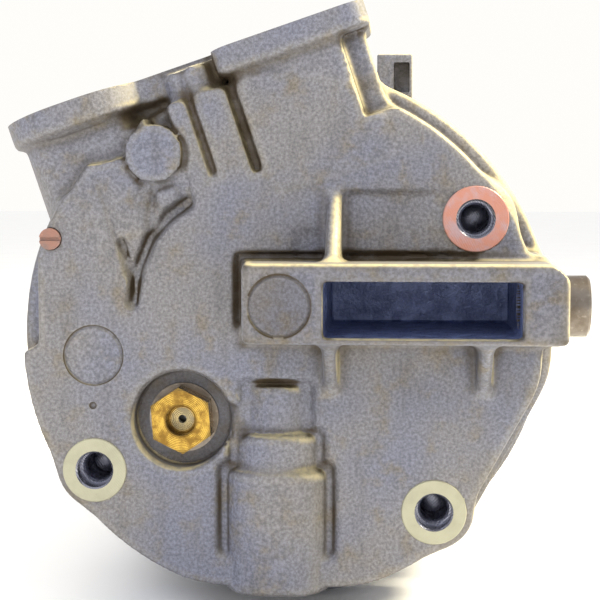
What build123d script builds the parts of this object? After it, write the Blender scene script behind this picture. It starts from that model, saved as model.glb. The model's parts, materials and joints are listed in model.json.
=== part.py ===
"""Automotive air-conditioning compressor, five cylinders, wobble plate, electromagnetic clutch.

Millimetres, +Z up. The shaft runs along Y, the rear head faces -Y and the belt pulley is at +Y.
The origin is on the shaft axis, in the plane of the rear head's back face.
"""

from build123d import *
import os
from math import cos, sin, tan, radians, sqrt

os.makedirs("parts", exist_ok=True)

# Cylinders and castings
cylinders = 5
bore_circle = 39.0
bore_radius = 18.5
bore_phase = 16.0
block_wall = 9.5
rim_step = 4.4
bolt_edge = 9.5
crankcase_wall = 16.0
lug_cavity_step = 11.0
housing_step = 2.5
head_depth = 32.0
flange_start = 20.0
front_flange = 11.0
front_wall = 8.0
body_radius = bore_circle + bore_radius + block_wall
rim_radius = body_radius - rim_step
bolt_circle = body_radius - bolt_edge
crankcase_radius = body_radius - crankcase_wall
lug_cavity_radius = crankcase_radius - lug_cavity_step
housing_radius = body_radius - housing_step
bolt_phase = bore_phase + 180.0 / cylinders

# Stack of plates between the rear head and the block
gasket_thick = 0.8
reed_thick = 0.4
valve_plate_thick = 4.0
suction_port_radius = 4.0
discharge_port_radius = 4.0

# Running parts
running = 0.05
free = 0.3
tilt_limit = 20.0
crown_gap = 0.6
piston_length = 24.0
piston_crown = 8.0
piston_wall = 3.5
ball_radius = 5.0
rod_radius = 3.2
rod_length = 42.0
socket_gap = 0.35
plate_half = 6.2
plate_rim = 1.6
shaft_radius = 8.5
pivot_radius = 13.0
journal_sleeve = 17.0
journal_inset = 6.0
journal_thick = 6.0
bush_thick = 2.0
thrust_thick = 2.8
lug_inset = 2.0
lug_thick = 8.0
thrust_washer_thick = 3.0
drive_pin_radius = 2.0
guide_angle = bore_phase + 180.0
guide_pin_radius = 3.0
guide_ball_radius = 5.0
bearing_wall = 3.0
journal_radius = lug_cavity_radius - journal_inset
lug_radius = lug_cavity_radius - lug_inset
guide_circle = lug_cavity_radius + guide_pin_radius

# Rear head
back_hole_circle_inset = 7.6
back_hole_angles = (32.5, 214.9, 312.3)
thread_minor = 3.4
thread_depths = (16.0, 15.0, 17.0)
relief_bore = 4.25
relief_bore_depth = 5.0
spot_radius = 7.8
spot_proud = 0.5
hole_boss_radius = 9.8
wall_floor = 3.0
suction_wall = 3.0
chamber_divide = 35.5
pad_angle = 108.6
pad_height = 8.0
pad_centre_y = 14.0
pad_lip = 6.5
suction_lobe = 15.7
suction_lobe_t = -28.4
discharge_lobe_t = 25.3
discharge_lobe_width = 38.2
neck_inset = 2.4
suction_port = 8.5
discharge_port = 7.0
pad_bolt_t = -1.0
pad_bolt_minor = 3.4
pad_bolt_depth = 18.0
ear_out = 25.0
ear_left = -6.6
ear_over = 3.2
ear_low = 2.1
ear_high = 20.1
ear_draft = 5.6
ear_axis_y = -12.0
ear_axis_z = 10.0
window_left = 11.4
window_right_wall = 10.1
window_low = 3.4
window_high = 16.1
window_depth = 38.0
bushing_radius = 7.0
bushing_bore = 5.2
bushing_length = 13.8
bushing_proud = 5.5
ear_thread_minor = 4.25
ear_thread_depth = 14.0
valve_x = -1.0
valve_y = 8.0
valve_low_radius = 9.0
valve_nose_radius = 5.0
relief_x = -23.9
relief_z = -19.1
relief_pocket = 11.8
relief_floor = 6.0
hex_across = 14.0
relief_shank = 5.5
relief_inner = 3.6
relief_washer_thick = 1.0
relief_cap_y = 2.2
relief_cap_thick = 2.0
relief_cap_hole = 1.0
relief_poppet_thick = 3.0
relief_coils = 6
relief_wire = 0.28
relief_coil_radius = 2.7
side_flat_depth = 3.8
side_flat_low = -3.5
plug_radius = 2.6
plug_length = 8.0
plug_inset = 7.3
plug_z = 24.6
plug_slot = 0.9
valley_depth = 2.4
groove_depth = 2.6
boss_nose_radius = 8.4
boss_neck_radius = 11.2
boss_base_radius = 13.5
boss_top = -10.8
boss_neck_top = -22.5
boss_base_top = -31.0
boss_groove_low = -52.6
boss_groove_gap = 1.2
cast_disc_place = (-30.1, 45.0)
cast_disc_radius = 6.9
cast_disc_proud = 0.9
rib_width = 3.4
rib_share = 0.62
rib_upper_reach = 16.0
rib_lower_reach = 14.5
rib_left_upper_x = 13.0
rib_left_lower_x = 12.2
rib_right_lower_x = 48.6

# Control valve
valve_seat_z = -33.0
valve_nose_top = -15.0
valve_rod_radius = 1.5
valve_oring_z = (-52.0, -41.0)
valve_oring_width = 2.4
valve_oring_depth = 1.6
valve_oring_section = 0.79
clip_thick = 1.2
valve_clip_inset = 3.0

# Through bolts
bolt_radius = 3.0
bolt_hole = 3.3
bolt_engage = 13.0
bolt_head_height = 6.0
bolt_flange = 6.4
bolt_flange_thick = 1.2
bolt_across = 10.0

# Block and front head
oring_section = 1.0
oring_inset = 3.2
shaft_end_gap = 9.0
rear_bearing_length = 14.0
front_bearing_length = 14.0
guide_pin_engage = 8.0
guide_pin_far = 6.0
pocket_depth = 2.4
housing_pocket_depth = 5.0
pocket_half = 15.0
lug_left = 22.0
lug_right = 32.0
lug_height = 8.5
drain_radius = 4.0
drain_seat = 8.0
drain_across = 10.0
drain_sink = 3.0
seal_depth = 10.0
seal_width = 6.0

# Clutch
nose_radius = 20.0
nose_bore_step = 3.0
race_thick = 3.0
ball_bearing_ball = 3.3
bearing_outer = 31.0
bearing_width = 20.0
bearing_balls = 12
rotor_hub_wall = 4.0
coil_inner = 36.0
coil_outer = 50.0
coil_ring_gap = 1.2
coil_depth = 18.0
rotor_gap = 0.8
rotor_web = 6.0
pulley_radius = 61.0
belt_ribs = 6
rib_pitch = 3.56
rib_depth = 3.2
air_gap = 0.5
armature_thick = 5.0
armature_radius = 52.0
armature_inner = 26.0
leaf_thick = 0.6
hub_flange_thick = 3.0
hub_radius = 11.0
hub_bore = 7.5
rivet_circle = 44.5
rivet_radius = 2.4
nut_across = 17.0
nut_height = 7.0
shaft_thread = 5.0
coil_wall = 2.6
coil_floor = 3.0
cone_inset = 4.0
lead_half = 4.0
lead_thick = 3.0
lead_gap = 0.5
plug_half = 8.0
plug_shell_length = 20.0
plug_shell_height = 11.0
plug_wall = 1.8
race_step = 2.3
cage_half = 1.1
slot_half = 1.1
arm_half = 8.0
leaf_half = 5.0
arm_circle = 24.0
needle_count = 24

# Stations along the shaft, worked out from the sizes above
stroke_half = bore_circle * tan(radians(tilt_limit))
y_reed_rear = head_depth + gasket_thick
y_plate = y_reed_rear + reed_thick
y_reed_front = y_plate + valve_plate_thick
y_gasket = y_reed_front + reed_thick
y_block = y_gasket + gasket_thick
y_crown = y_block + crown_gap + stroke_half
y_piston_ball = y_crown + piston_crown + ball_radius * 0.4
y_wobble = y_piston_ball + rod_length
socket_radius = ball_radius + socket_gap
socket_shift = bore_circle * (1 / cos(radians(tilt_limit)) - 1)
wobble_radius = bore_circle + socket_shift + socket_radius + plate_rim
wobble_reach = wobble_radius * sin(radians(tilt_limit)) + plate_half * cos(radians(tilt_limit))
y_block_front = y_wobble - wobble_reach - 1.2
y_journal = y_wobble + plate_half + thrust_thick
y_journal_front = y_journal + journal_thick
journal_reach = ((y_journal_front - y_wobble) * cos(radians(tilt_limit))
                 + journal_radius * sin(radians(tilt_limit)))
y_lug = y_wobble + journal_reach + 1.0
y_lug_front = y_lug + lug_thick
y_wall = y_lug_front + thrust_washer_thick
y_wall_out = y_wall + front_wall
y_shoulder = y_wall - 5.0
y_cavity_step = y_wobble + wobble_reach + 2.0
y_coil_front = y_wall_out + coil_depth
y_web = y_coil_front + rotor_gap
y_friction = y_web + rotor_web
y_bearing = y_friction - 3.0 - bearing_width
y_nose = y_friction - 1.0
y_armature = y_friction + air_gap
y_armature_front = y_armature + armature_thick
y_leaf = y_armature_front + free
y_hub_flange = y_leaf + leaf_thick
y_hub_front = y_hub_flange + hub_flange_thick
y_nut = y_hub_front + 2.2
y_shaft_end = y_nut + nut_height + 2.0
pulley_y0 = y_friction - belt_ribs * rib_pitch - 4.5
y_piston_reach = y_crown + piston_length + stroke_half + 1.0
shaft_rear_y = y_block + shaft_end_gap
cone_radius = bolt_circle - bolt_flange - 0.4
y_seal = y_nose - seal_depth
y_front_bearing = y_wall + 1.0
y_drain = (y_block_front + front_flange + y_shoulder) / 2 - 2.0


# ---------------------------------------------------------------- helpers
def along_y(x, y, z):
    """Location at a point, with its own Z turned to run along +Y."""
    return Pos(x, y, z) * Rot(-90, 0, 0)


def disc(radius, y0, y1, x=0.0, z=0.0):
    """Solid cylinder along Y from y0 to y1."""
    return along_y(x, y0, z) * Cylinder(radius, y1 - y0, align=(Align.CENTER, Align.CENTER, Align.MIN))


def ring(outer, inner, y0, y1, x=0.0, z=0.0):
    """Hollow cylinder along Y."""
    return disc(outer, y0, y1, x, z) - disc(inner, y0, y1, x, z)


def upright(radius, z0, z1, x, y):
    """Solid cylinder along Z from z0 to z1."""
    return Pos(x, y, z0) * Cylinder(radius, z1 - z0, align=(Align.CENTER, Align.CENTER, Align.MIN))


def sideways(radius, x0, x1, y, z):
    """Solid cylinder along X from x0 to x1."""
    align = (Align.CENTER, Align.CENTER, Align.MIN)
    return Pos(x0, y, z) * Rot(0, 90, 0) * Cylinder(radius, x1 - x0, align=align)


def brick(x0, x1, y0, y1, z0, z1):
    """Box between two corners."""
    return Pos(x0, y0, z0) * Box(x1 - x0, y1 - y0, z1 - z0, align=(Align.MIN, Align.MIN, Align.MIN))


def polar(radius, angle):
    """x and z of a point at this radius and angle, counted from +X towards +Z."""
    return radius * cos(radians(angle)), radius * sin(radians(angle))


def spin(shape, angle):
    """The shape turned about the shaft axis from +X towards +Z."""
    return Rot(0, -angle, 0) * shape


def turned(*points):
    """Body turned about the shaft axis from (radius, y) points."""
    return revolve(make_face(Polyline(*points, close=True)), Axis.Y)


def torus(major, minor, y):
    """Ring of round section about the shaft axis."""
    return along_y(0, y, 0) * Torus(major, minor)


def back_plane(y):
    """Plane seen from behind the pump: its X is +X, its Y is +Z, and it faces -Y."""
    return Plane(origin=(0, y, 0), x_dir=(1, 0, 0), z_dir=(0, -1, 0))


def slab(outline, y0, y1):
    """Flat outline in (x, z), made solid from y0 to y1."""
    return extrude(back_plane(y1) * outline, y1 - y0)


def bore_angles():
    return [bore_phase + 360.0 / cylinders * k for k in range(cylinders)]


def bolt_angles():
    return [bolt_phase + 360.0 / cylinders * k for k in range(cylinders)]


def discs_on_circle(radius, circle, angles, y0, y1):
    """One cylinder along Y at each angle of a circle."""
    return [disc(radius, y0, y1, *polar(circle, a)) for a in angles]


def cut_all(shape, tools):
    for tool in tools:
        shape -= tool
    return shape


def save(name, shape):
    """Writes one node; a list becomes a group of separate solids."""
    if isinstance(shape, list):
        shape = Compound(children=shape)
    shape.label = name
    export_step(shape, f"parts/{name}.step")


# ---------------------------------------------------------------- rear head
back_hole_circle = rim_radius - back_hole_circle_inset
ear_right = rim_radius + ear_over
window_right = ear_right - window_right_wall
plug_place = (-rim_radius + plug_inset, plug_z)
pad_plane_normal = (cos(radians(pad_angle)), 0, sin(radians(pad_angle)))
pad_plane_along = (sin(radians(pad_angle)), 0, -cos(radians(pad_angle)))
pad_radius = rim_radius + pad_height
suction_chamber_y = head_depth - 12.0
relief_seat_y = head_depth - 17.0
discharge_chamber_y = relief_seat_y + 2.0
suction_outer = bolt_circle - bolt_hole - suction_wall
suction_inner = chamber_divide + 1.5
discharge_outer = chamber_divide - 1.5


def pad_plane(height):
    """Plane of the port pad; its X runs along the pad and its Y is +Y."""
    origin = tuple(height * c for c in pad_plane_normal)
    return Plane(origin=origin, x_dir=pad_plane_along, z_dir=pad_plane_normal)


def pad_outline(inset):
    """Two lobes joined by a narrower waist, in the pad's plane."""
    left = Pos(suction_lobe_t, pad_centre_y) * Circle(suction_lobe - inset)
    right = Pos(discharge_lobe_t, pad_centre_y) * RectangleRounded(
        discharge_lobe_width - 2 * inset, 2 * suction_lobe + 1.0 - 2 * inset, 5.0)
    waist_left = suction_lobe_t
    waist_right = discharge_lobe_t
    waist = Pos((waist_left + waist_right) / 2, pad_centre_y + 2.5) * Rectangle(
        waist_right - waist_left, 2 * suction_lobe - 12.0 - 2 * inset)
    return left + right + waist


def port_pad():
    """Pad on the upper left side with its two port necks and the bolt boss between them."""
    lip = extrude(pad_plane(pad_radius) * pad_outline(0.0), -pad_lip)
    neck = extrude(pad_plane(pad_radius - pad_lip) * pad_outline(neck_inset), -pad_lip * 4.5)
    boss_face = pad_plane(pad_radius - pad_lip + 1.0)
    boss = extrude(boss_face * Pos(pad_bolt_t, pad_centre_y - 6.4) * Circle(6.6), -22.0)
    return lip + neck + boss


def pad_holes():
    """Suction and discharge ports and the threaded hole of the hose block's bolt."""
    face = pad_plane(pad_radius)
    suction = extrude(face * Pos(suction_lobe_t, pad_centre_y) * Circle(suction_port), -pad_radius + 40.0)
    discharge = extrude(face * Pos(discharge_lobe_t, pad_centre_y - 2.0) * Circle(discharge_port),
                        -pad_radius + 21.0)
    bolt = extrude(face * Pos(pad_bolt_t, pad_centre_y) * Circle(pad_bolt_minor), -pad_bolt_depth)
    return [suction, discharge, bolt]


def mounting_ear():
    """Bar across the right side with drafted sides, its ribs, and the part that backs it at the rim."""
    base_grow = ear_out * tan(radians(ear_draft))
    base_x0 = ear_left - base_grow
    base_x1 = ear_right + base_grow
    base_z0 = ear_low - base_grow
    base_z1 = ear_high + base_grow
    base = back_plane(0) * Pos((base_x0 + base_x1) / 2, (base_z0 + base_z1) / 2)
    bar = extrude(base * Rectangle(base_x1 - base_x0, base_z1 - base_z0), ear_out, taper=ear_draft)
    backing = brick(0, base_x1, 0, flange_start + 2.0, base_z0, base_z1)
    backing &= disc(body_radius, 0, flange_start + 2.0)
    ear = bar + backing
    rib_out = ear_out * rib_share
    for x, z_far, z_near in ((rib_left_upper_x, ear_high + rib_upper_reach, ear_high),
                             (rib_left_lower_x, ear_low - rib_lower_reach, ear_low),
                             (rib_right_lower_x, ear_low - rib_lower_reach, ear_low)):
        profile = Plane.YZ * Polygon((0.5, z_far), (0.5, z_near), (-rib_out, z_near), align=None)
        ear += Pos(x - rib_width / 2, 0, 0) * extrude(profile, rib_width)
    return ear


def ear_cuts():
    window = brick(window_left, window_right, -ear_out - 1, -ear_out + window_depth, window_low, window_high)
    through = sideways(bushing_bore, window_right - 1, ear_right + 20, ear_axis_y, ear_axis_z)
    seat = sideways(bushing_radius, ear_right + bushing_proud - bushing_length, ear_right + 20,
                    ear_axis_y, ear_axis_z)
    thread = sideways(ear_thread_minor, window_left - ear_thread_depth, window_left + 1,
                      ear_axis_y, ear_axis_z)
    return [window, through, seat, thread]


def valve_boss():
    """Upright stepped half-cylinder that holds the control valve."""
    steps = upright(boss_nose_radius, boss_neck_top, boss_top, valve_x, valve_y)
    steps += upright(boss_neck_radius, boss_base_top, boss_neck_top, valve_x, valve_y)
    return steps + upright(boss_base_radius, -rim_radius + 1.2, boss_base_top, valve_x, valve_y)


def valve_groove():
    """Shallow channel that outlines the valve boss on the back face."""
    groove = []
    for radius, low, high in ((boss_nose_radius, boss_neck_top, boss_top),
                              (boss_neck_radius, boss_base_top, boss_neck_top),
                              (boss_base_radius, boss_groove_low, boss_base_top)):
        half = radius + boss_groove_gap
        groove.append(brick(valve_x - half, valve_x + half, -9, groove_depth, low, high + 2.2))
    return groove


def valve_bore():
    bore = upright(valve_nose_radius, valve_seat_z - 7.0, valve_nose_top + 1.0, valve_x, valve_y)
    bore += upright(valve_low_radius, -rim_radius - 5, valve_seat_z, valve_x, valve_y)
    clip_z = -rim_radius + valve_clip_inset
    return bore + upright(valve_low_radius + 0.9, clip_z, clip_z + clip_thick, valve_x, valve_y)


def valley():
    """Sunk field between the port neck and the back face."""
    outline = Polygon((-43.3, 41.9), (-42.1, 33.5), (-36.6, 20.4), (-34.9, 12.0), (-28.9, 25.2),
                      (-20.5, 32.3), (-20.0, 46.0), (-38.0, 47.0), align=None)
    return slab(outline, -3.0, valley_depth)


def rear_head():
    head = disc(rim_radius, 0, flange_start + 1.0) + disc(body_radius, flange_start, head_depth)
    head -= brick(-rim_radius - 5, -rim_radius + side_flat_depth, -1, flange_start - 2.0, side_flat_low, 40.0)
    head += port_pad()
    head -= valley()
    head += disc(cast_disc_radius, -cast_disc_proud, 10.0, *cast_disc_place)
    head = cut_all(head, valve_groove())
    # relief valve pocket, with a shallow neck towards the valve boss
    head -= disc(relief_pocket, -5, relief_floor, relief_x, relief_z)
    head -= brick(relief_x, valve_x - 9.0, -5, 2.2, relief_z - 4.0, relief_z + 3.0)
    head += valve_boss() & disc(rim_radius + 0.8, -20, flange_start)
    head += mounting_ear()
    for a in back_hole_angles:
        x, z = polar(back_hole_circle, a)
        head += disc(hole_boss_radius, 0, flange_start, x, z) & disc(body_radius, 0, flange_start)
        head += disc(spot_radius, -spot_proud, 1.0, x, z)
    # inside
    head -= ring(suction_outer, suction_inner, suction_chamber_y, head_depth)
    head -= disc(discharge_outer, discharge_chamber_y, head_depth)
    head = cut_all(head, pad_holes())
    head = cut_all(head, ear_cuts())
    head -= valve_bore()
    head -= disc(relief_shank, relief_floor - 1, discharge_chamber_y + 1, relief_x, relief_z)
    for a, depth in zip(back_hole_angles, thread_depths):
        x, z = polar(back_hole_circle, a)
        head -= disc(relief_bore, -2, -spot_proud + relief_bore_depth, x, z)
        head -= disc(thread_minor, -2, -spot_proud + depth, x, z)
    head = cut_all(head, discs_on_circle(bolt_radius, bolt_circle, bolt_angles(),
                                         head_depth - bolt_engage, head_depth))
    return head - disc(plug_radius, -2, plug_length, *plug_place)


def slotted_plug():
    x, z = plug_place
    plug = disc(plug_radius, -1.0, plug_length, x, z)
    return plug - brick(x - 4, x + 4, -2, -0.2, z - plug_slot / 2, z + plug_slot / 2)


def ear_bushing():
    x1 = ear_right + bushing_proud
    x0 = x1 - bushing_length
    outer = sideways(bushing_radius, x0, x1, ear_axis_y, ear_axis_z)
    outer = chamfer(outer.edges().filter_by(GeomType.CIRCLE), 0.6)
    return outer - sideways(bushing_bore, x0 - 1, x1 + 1, ear_axis_y, ear_axis_z)


# ---------------------------------------------------------------- relief valve
def hexagon(across, y0, y1, x=0.0, z=0.0, turn=0.0):
    outline = Pos(x, z) * Rot(0, 0, turn) * RegularPolygon(across / sqrt(3), 6)
    return slab(outline, y0, y1)


def relief_valve_body():
    seat_y = relief_floor - relief_washer_thick
    body = hexagon(hex_across, -1.0, seat_y, relief_x, relief_z, 34.0)
    body &= (along_y(relief_x, 2.0, relief_z) * Sphere(hex_across * 0.62))
    body += disc(relief_shank, seat_y, relief_seat_y + 3.0, relief_x, relief_z)
    body -= disc(relief_inner, -2, relief_seat_y, relief_x, relief_z)
    return body - disc(2.0, relief_seat_y - 1, relief_seat_y + 4, relief_x, relief_z)


def relief_spring():
    """Coil spring of the relief valve, between the cap and the poppet."""
    start = relief_cap_y + relief_cap_thick + 0.3
    length = relief_seat_y - relief_poppet_thick - start - 0.3
    path = Helix(pitch=length / relief_coils, height=length, radius=relief_coil_radius)
    wire = sweep(Plane(origin=path @ 0, z_dir=path % 0) * Circle(relief_wire), path)
    return along_y(relief_x, start, relief_z) * wire


def relief_poppet():
    y0 = relief_seat_y - relief_poppet_thick
    poppet = disc(relief_inner - running, y0, relief_seat_y, relief_x, relief_z)
    return poppet + disc(1.4, y0 - 4.0, y0, relief_x, relief_z)


def relief_cap():
    cap = disc(relief_inner, relief_cap_y, relief_cap_y + relief_cap_thick, relief_x, relief_z)
    return cap - disc(relief_cap_hole, relief_cap_y - 1, relief_cap_y + 5, relief_x, relief_z)


# ---------------------------------------------------------------- control valve
valve_bottom = -rim_radius + valve_clip_inset + clip_thick
oring_floor = valve_low_radius - valve_oring_depth


def control_valve_body():
    body = upright(valve_low_radius, valve_bottom, valve_seat_z, valve_x, valve_y)
    body += upright(valve_nose_radius, valve_seat_z, valve_nose_top, valve_x, valve_y)
    for z in valve_oring_z:
        top = z + valve_oring_width
        body -= upright(valve_low_radius, z, top, valve_x, valve_y)
        body += upright(oring_floor, z, top, valve_x, valve_y)
    rod_hole = upright(valve_rod_radius + running, valve_seat_z - 3.0, valve_nose_top + 5.0, valve_x, valve_y)
    return body - rod_hole


def control_valve_orings():
    return [Pos(valve_x, valve_y, z + valve_oring_width / 2) * Torus(oring_floor + 0.8, valve_oring_section)
            for z in valve_oring_z]


def control_valve_rod():
    return upright(valve_rod_radius, valve_seat_z - 2.0, valve_nose_top - 2.0, valve_x, valve_y)


def control_valve_snap_ring():
    z = -rim_radius + valve_clip_inset
    clip = upright(valve_low_radius + 0.9, z, z + clip_thick, valve_x, valve_y)
    clip -= upright(valve_low_radius - 1.4, z, z + clip_thick, valve_x, valve_y)
    return clip - brick(valve_x - 2.5, valve_x + 2.5, valve_y, valve_y + 14, z - 1, z + 3)


# ---------------------------------------------------------------- plates between head and block
def plate_blank(y0, y1):
    plate = disc(rim_radius, y0, y1)
    return cut_all(plate, discs_on_circle(bolt_hole, bolt_circle, bolt_angles(), y0, y1))


suction_port_circle = (suction_inner + suction_outer) / 2
discharge_port_circle = discharge_outer - discharge_port_radius - 2.0


def head_gasket():
    y0, y1 = head_depth, y_reed_rear
    gasket = cut_all(plate_blank(y0, y1), discs_on_circle(6.0, discharge_port_circle, bore_angles(), y0, y1))
    return cut_all(gasket, discs_on_circle(6.0, suction_port_circle, bore_angles(), y0, y1))


def reed_slots(circle, y0, y1):
    """Horseshoe slots that leave a spring tongue over each port."""
    slots = []
    for a in bore_angles():
        x, z = polar(circle, a)
        shoe = ring(6.0, 5.2, y0, y1, x, z)
        neck = spin(brick(circle - 9, circle, y0 - 1, y1 + 1, -2.5, 2.5), a)
        slots.append(shoe - neck)
    return slots


def discharge_reed():
    y0, y1 = y_reed_rear, y_plate
    reed = cut_all(plate_blank(y0, y1), reed_slots(discharge_port_circle, y0, y1))
    return cut_all(reed, discs_on_circle(suction_port_radius, suction_port_circle, bore_angles(), y0, y1))


def valve_plate():
    y0, y1 = y_plate, y_reed_front
    plate = cut_all(plate_blank(y0, y1),
                    discs_on_circle(discharge_port_radius, discharge_port_circle, bore_angles(), y0, y1))
    return cut_all(plate, discs_on_circle(suction_port_radius, suction_port_circle, bore_angles(), y0, y1))


def suction_reed():
    y0, y1 = y_reed_front, y_gasket
    reed = cut_all(plate_blank(y0, y1), reed_slots(suction_port_circle, y0, y1))
    return cut_all(reed, discs_on_circle(discharge_port_radius, discharge_port_circle, bore_angles(), y0, y1))


def cylinder_gasket():
    y0, y1 = y_gasket, y_block
    return cut_all(plate_blank(y0, y1), discs_on_circle(bore_radius, bore_circle, bore_angles(), y0, y1))


# ---------------------------------------------------------------- block and front head
oring_circle = body_radius - oring_inset
central_bore = shaft_radius + bearing_wall
seal_radius = central_bore + 2.5
drain_angle = bore_angles()[4]
guide_x, guide_z = polar(guide_circle, guide_angle)


def outside_pockets(outer, depth, y0, y1, half_width):
    """Shallow lightening pockets between the bolt bosses."""
    pockets = []
    for a in bore_angles():
        pocket = brick(outer - depth, outer + 5, y0, y1, -half_width, half_width)
        pockets.append(spin(fillet(pocket.edges().filter_by(Axis.X), 3.0), a))
    return pockets


def cylinder_block():
    block = disc(body_radius, y_block, y_block_front)
    block = cut_all(block, discs_on_circle(bore_radius, bore_circle, bore_angles(), y_block, y_block_front))
    block = cut_all(block, discs_on_circle(bolt_hole, bolt_circle, bolt_angles(), y_block, y_block_front))
    block -= disc(central_bore, shaft_rear_y - 1.0, y_block_front)
    groove_y = y_block_front - 2 * oring_section
    block -= ring(oring_circle + oring_section, oring_circle - oring_section, groove_y, y_block_front)
    block -= disc(guide_pin_radius, y_block_front - guide_pin_engage, y_block_front, guide_x, guide_z)
    return cut_all(block, outside_pockets(body_radius, pocket_depth, y_block + 6.0, y_block_front - 8.0,
                                          pocket_half))


def block_oring():
    return torus(oring_circle, oring_section, y_block_front - oring_section)


def front_head():
    profile = turned((0.01, y_wall), (lug_cavity_radius, y_wall), (lug_cavity_radius, y_cavity_step),
                     (crankcase_radius, y_cavity_step), (crankcase_radius, y_block_front),
                     (body_radius, y_block_front), (body_radius, y_block_front + front_flange),
                     (housing_radius, y_block_front + front_flange + 1.5), (housing_radius, y_shoulder),
                     (cone_radius, y_shoulder), (coil_outer - cone_inset, y_wall_out),
                     (nose_radius + 4.0, y_wall_out), (nose_radius + 4.0, y_bearing),
                     (nose_radius, y_bearing), (nose_radius, y_nose), (0.01, y_nose))
    head = profile - disc(0.5, y_wall - 1, y_nose + 1)
    lug_top = body_radius + lug_height
    lug = brick(lug_left, lug_right, y_block_front, y_block_front + front_flange, rim_radius - 12.0, lug_top)
    lug -= brick(lug_left + 3.6, lug_right - 1.6, y_block_front - 1, y_block_front + front_flange - 3.0,
                 lug_top - 8.0, lug_top - 1.4)
    head += lug - disc(body_radius - 4.0, y_block_front - 1, y_block_front + 30)
    head = cut_all(head, discs_on_circle(bore_radius + free, bore_circle, bore_angles(),
                                         y_block_front - 1, y_piston_reach))
    head = cut_all(head, outside_pockets(housing_radius, housing_pocket_depth,
                                         y_block_front + front_flange + 5.0, y_shoulder - 7.0,
                                         pocket_half + 1.0))
    head = cut_all(head, discs_on_circle(bolt_hole, bolt_circle, bolt_angles(),
                                         y_block_front, y_shoulder + 20))
    head -= disc(central_bore, y_wall - 1, y_seal)
    head -= disc(seal_radius, y_seal, y_nose + 1)
    head -= disc(guide_pin_radius, y_cavity_step - 1, y_cavity_step + guide_pin_far, guide_x, guide_z)
    boss = sideways(drain_seat + 1.5, crankcase_radius + 1, housing_radius - 0.5, y_drain, 0)
    drain = sideways(drain_radius, 0, body_radius + 5, y_drain, 0)
    seat = sideways(drain_seat, housing_radius - drain_sink, body_radius + 5, y_drain, 0)
    return head + spin(boss, drain_angle) - spin(drain, drain_angle) - spin(seat, drain_angle)


def drain_plug():
    seat = housing_radius - drain_sink
    plug = sideways(drain_radius, crankcase_radius + 1.5, seat, y_drain, 0)
    plug += sideways(drain_seat - 1.0, seat, seat + 1.2, y_drain, 0)
    nut = extrude(RegularPolygon(drain_across / sqrt(3), 6), 4.5)
    return spin(plug + Pos(seat + 1.2, y_drain, 0) * Rot(0, 90, 0) * nut, drain_angle)


def through_bolts():
    bolts = []
    for a in bolt_angles():
        x, z = polar(bolt_circle, a)
        bolt = disc(bolt_radius, head_depth - bolt_engage + 0.5, y_shoulder, x, z)
        bolt += disc(bolt_flange, y_shoulder, y_shoulder + bolt_flange_thick, x, z)
        bolt += hexagon(bolt_across, y_shoulder + bolt_flange_thick, y_shoulder + bolt_head_height, x, z, a)
        bolts.append(bolt)
    return bolts


def guide_pin():
    return disc(guide_pin_radius, y_block_front - guide_pin_engage, y_cavity_step + guide_pin_far,
                guide_x, guide_z)


def guide_bush():
    ball = Pos(guide_x, y_wobble, guide_z) * Sphere(guide_ball_radius)
    return ball - disc(guide_pin_radius + running, y_wobble - 9, y_wobble + 9, guide_x, guide_z)


# ---------------------------------------------------------------- pistons and wobble plate
def piston(angle):
    x, z = polar(bore_circle, angle)
    body = disc(bore_radius - running, y_crown, y_crown + piston_length, x, z)
    body -= ring(bore_radius, bore_radius - 1.6, y_crown + 3.0, y_crown + 5.4, x, z)
    body -= disc(bore_radius - piston_wall, y_crown + piston_crown, y_crown + piston_length, x, z)
    seat = disc(ball_radius + 3.0, y_crown + piston_crown, y_piston_ball + 1.6, x, z)
    body += seat
    body -= Pos(x, y_piston_ball, z) * Sphere(ball_radius)
    return body - disc(rod_radius + 1.4, y_piston_ball, y_crown + piston_length, x, z)


def connecting_rod(angle):
    x, z = polar(bore_circle, angle)
    rod = disc(rod_radius, y_piston_ball, y_wobble, x, z)
    rod += Pos(x, y_piston_ball, z) * Sphere(ball_radius)
    return rod + Pos(x, y_wobble, z) * Sphere(ball_radius)


def socket_cut(angle):
    """Room for one rod's ball, which slides outwards along Z as the plate tilts."""
    x, z = polar(bore_circle, angle)
    shift = z * (1 / cos(radians(tilt_limit)) - 1)
    low, high = min(0.0, shift), max(0.0, shift)
    cut = Pos(x, y_wobble, z) * Sphere(socket_radius)
    cut += Pos(x, y_wobble, z + shift) * Sphere(socket_radius)
    cut += upright(socket_radius, z + low, z + high, x, y_wobble)
    mouth = rod_radius / cos(radians(tilt_limit)) + socket_gap
    flare = tan(radians(tilt_limit))
    depth = plate_half + 1.0
    for step in (0.0, shift):
        cut += along_y(x, y_wobble, z + step) * Rot(180, 0, 0) * Cone(
            mouth, mouth + depth * flare, depth, align=(Align.CENTER, Align.CENTER, Align.MIN))
    return cut + brick(x - mouth, x + mouth, y_wobble - depth, y_wobble, z + low, z + high)


def wobble_plate():
    inner = journal_sleeve + running + bush_thick
    y0 = y_wobble - plate_half
    plate = ring(wobble_radius, inner, y0, y_wobble + plate_half)
    plate -= ring(bore_circle - ball_radius - 3.5, inner + 4.0, y0, y0 + 3.0)
    plate = cut_all(plate, [socket_cut(a) for a in bore_angles()])
    tilt_shift = abs(guide_z) * (1 / cos(radians(tilt_limit)) - 1)
    half = guide_pin_radius + plate_half * sin(radians(tilt_limit)) + tilt_shift + 0.6
    half = max(half, guide_ball_radius + tilt_shift + 0.5)
    slot = brick(guide_circle - guide_ball_radius - 0.8 - tilt_shift, wobble_radius + 5,
                 y_wobble - 9, y_wobble + 9, -half, half)
    return plate - spin(slot, guide_angle)


def journal_bush():
    inner = journal_sleeve + running
    return ring(inner + bush_thick, inner, y_wobble - plate_half, y_wobble + plate_half)


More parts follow.
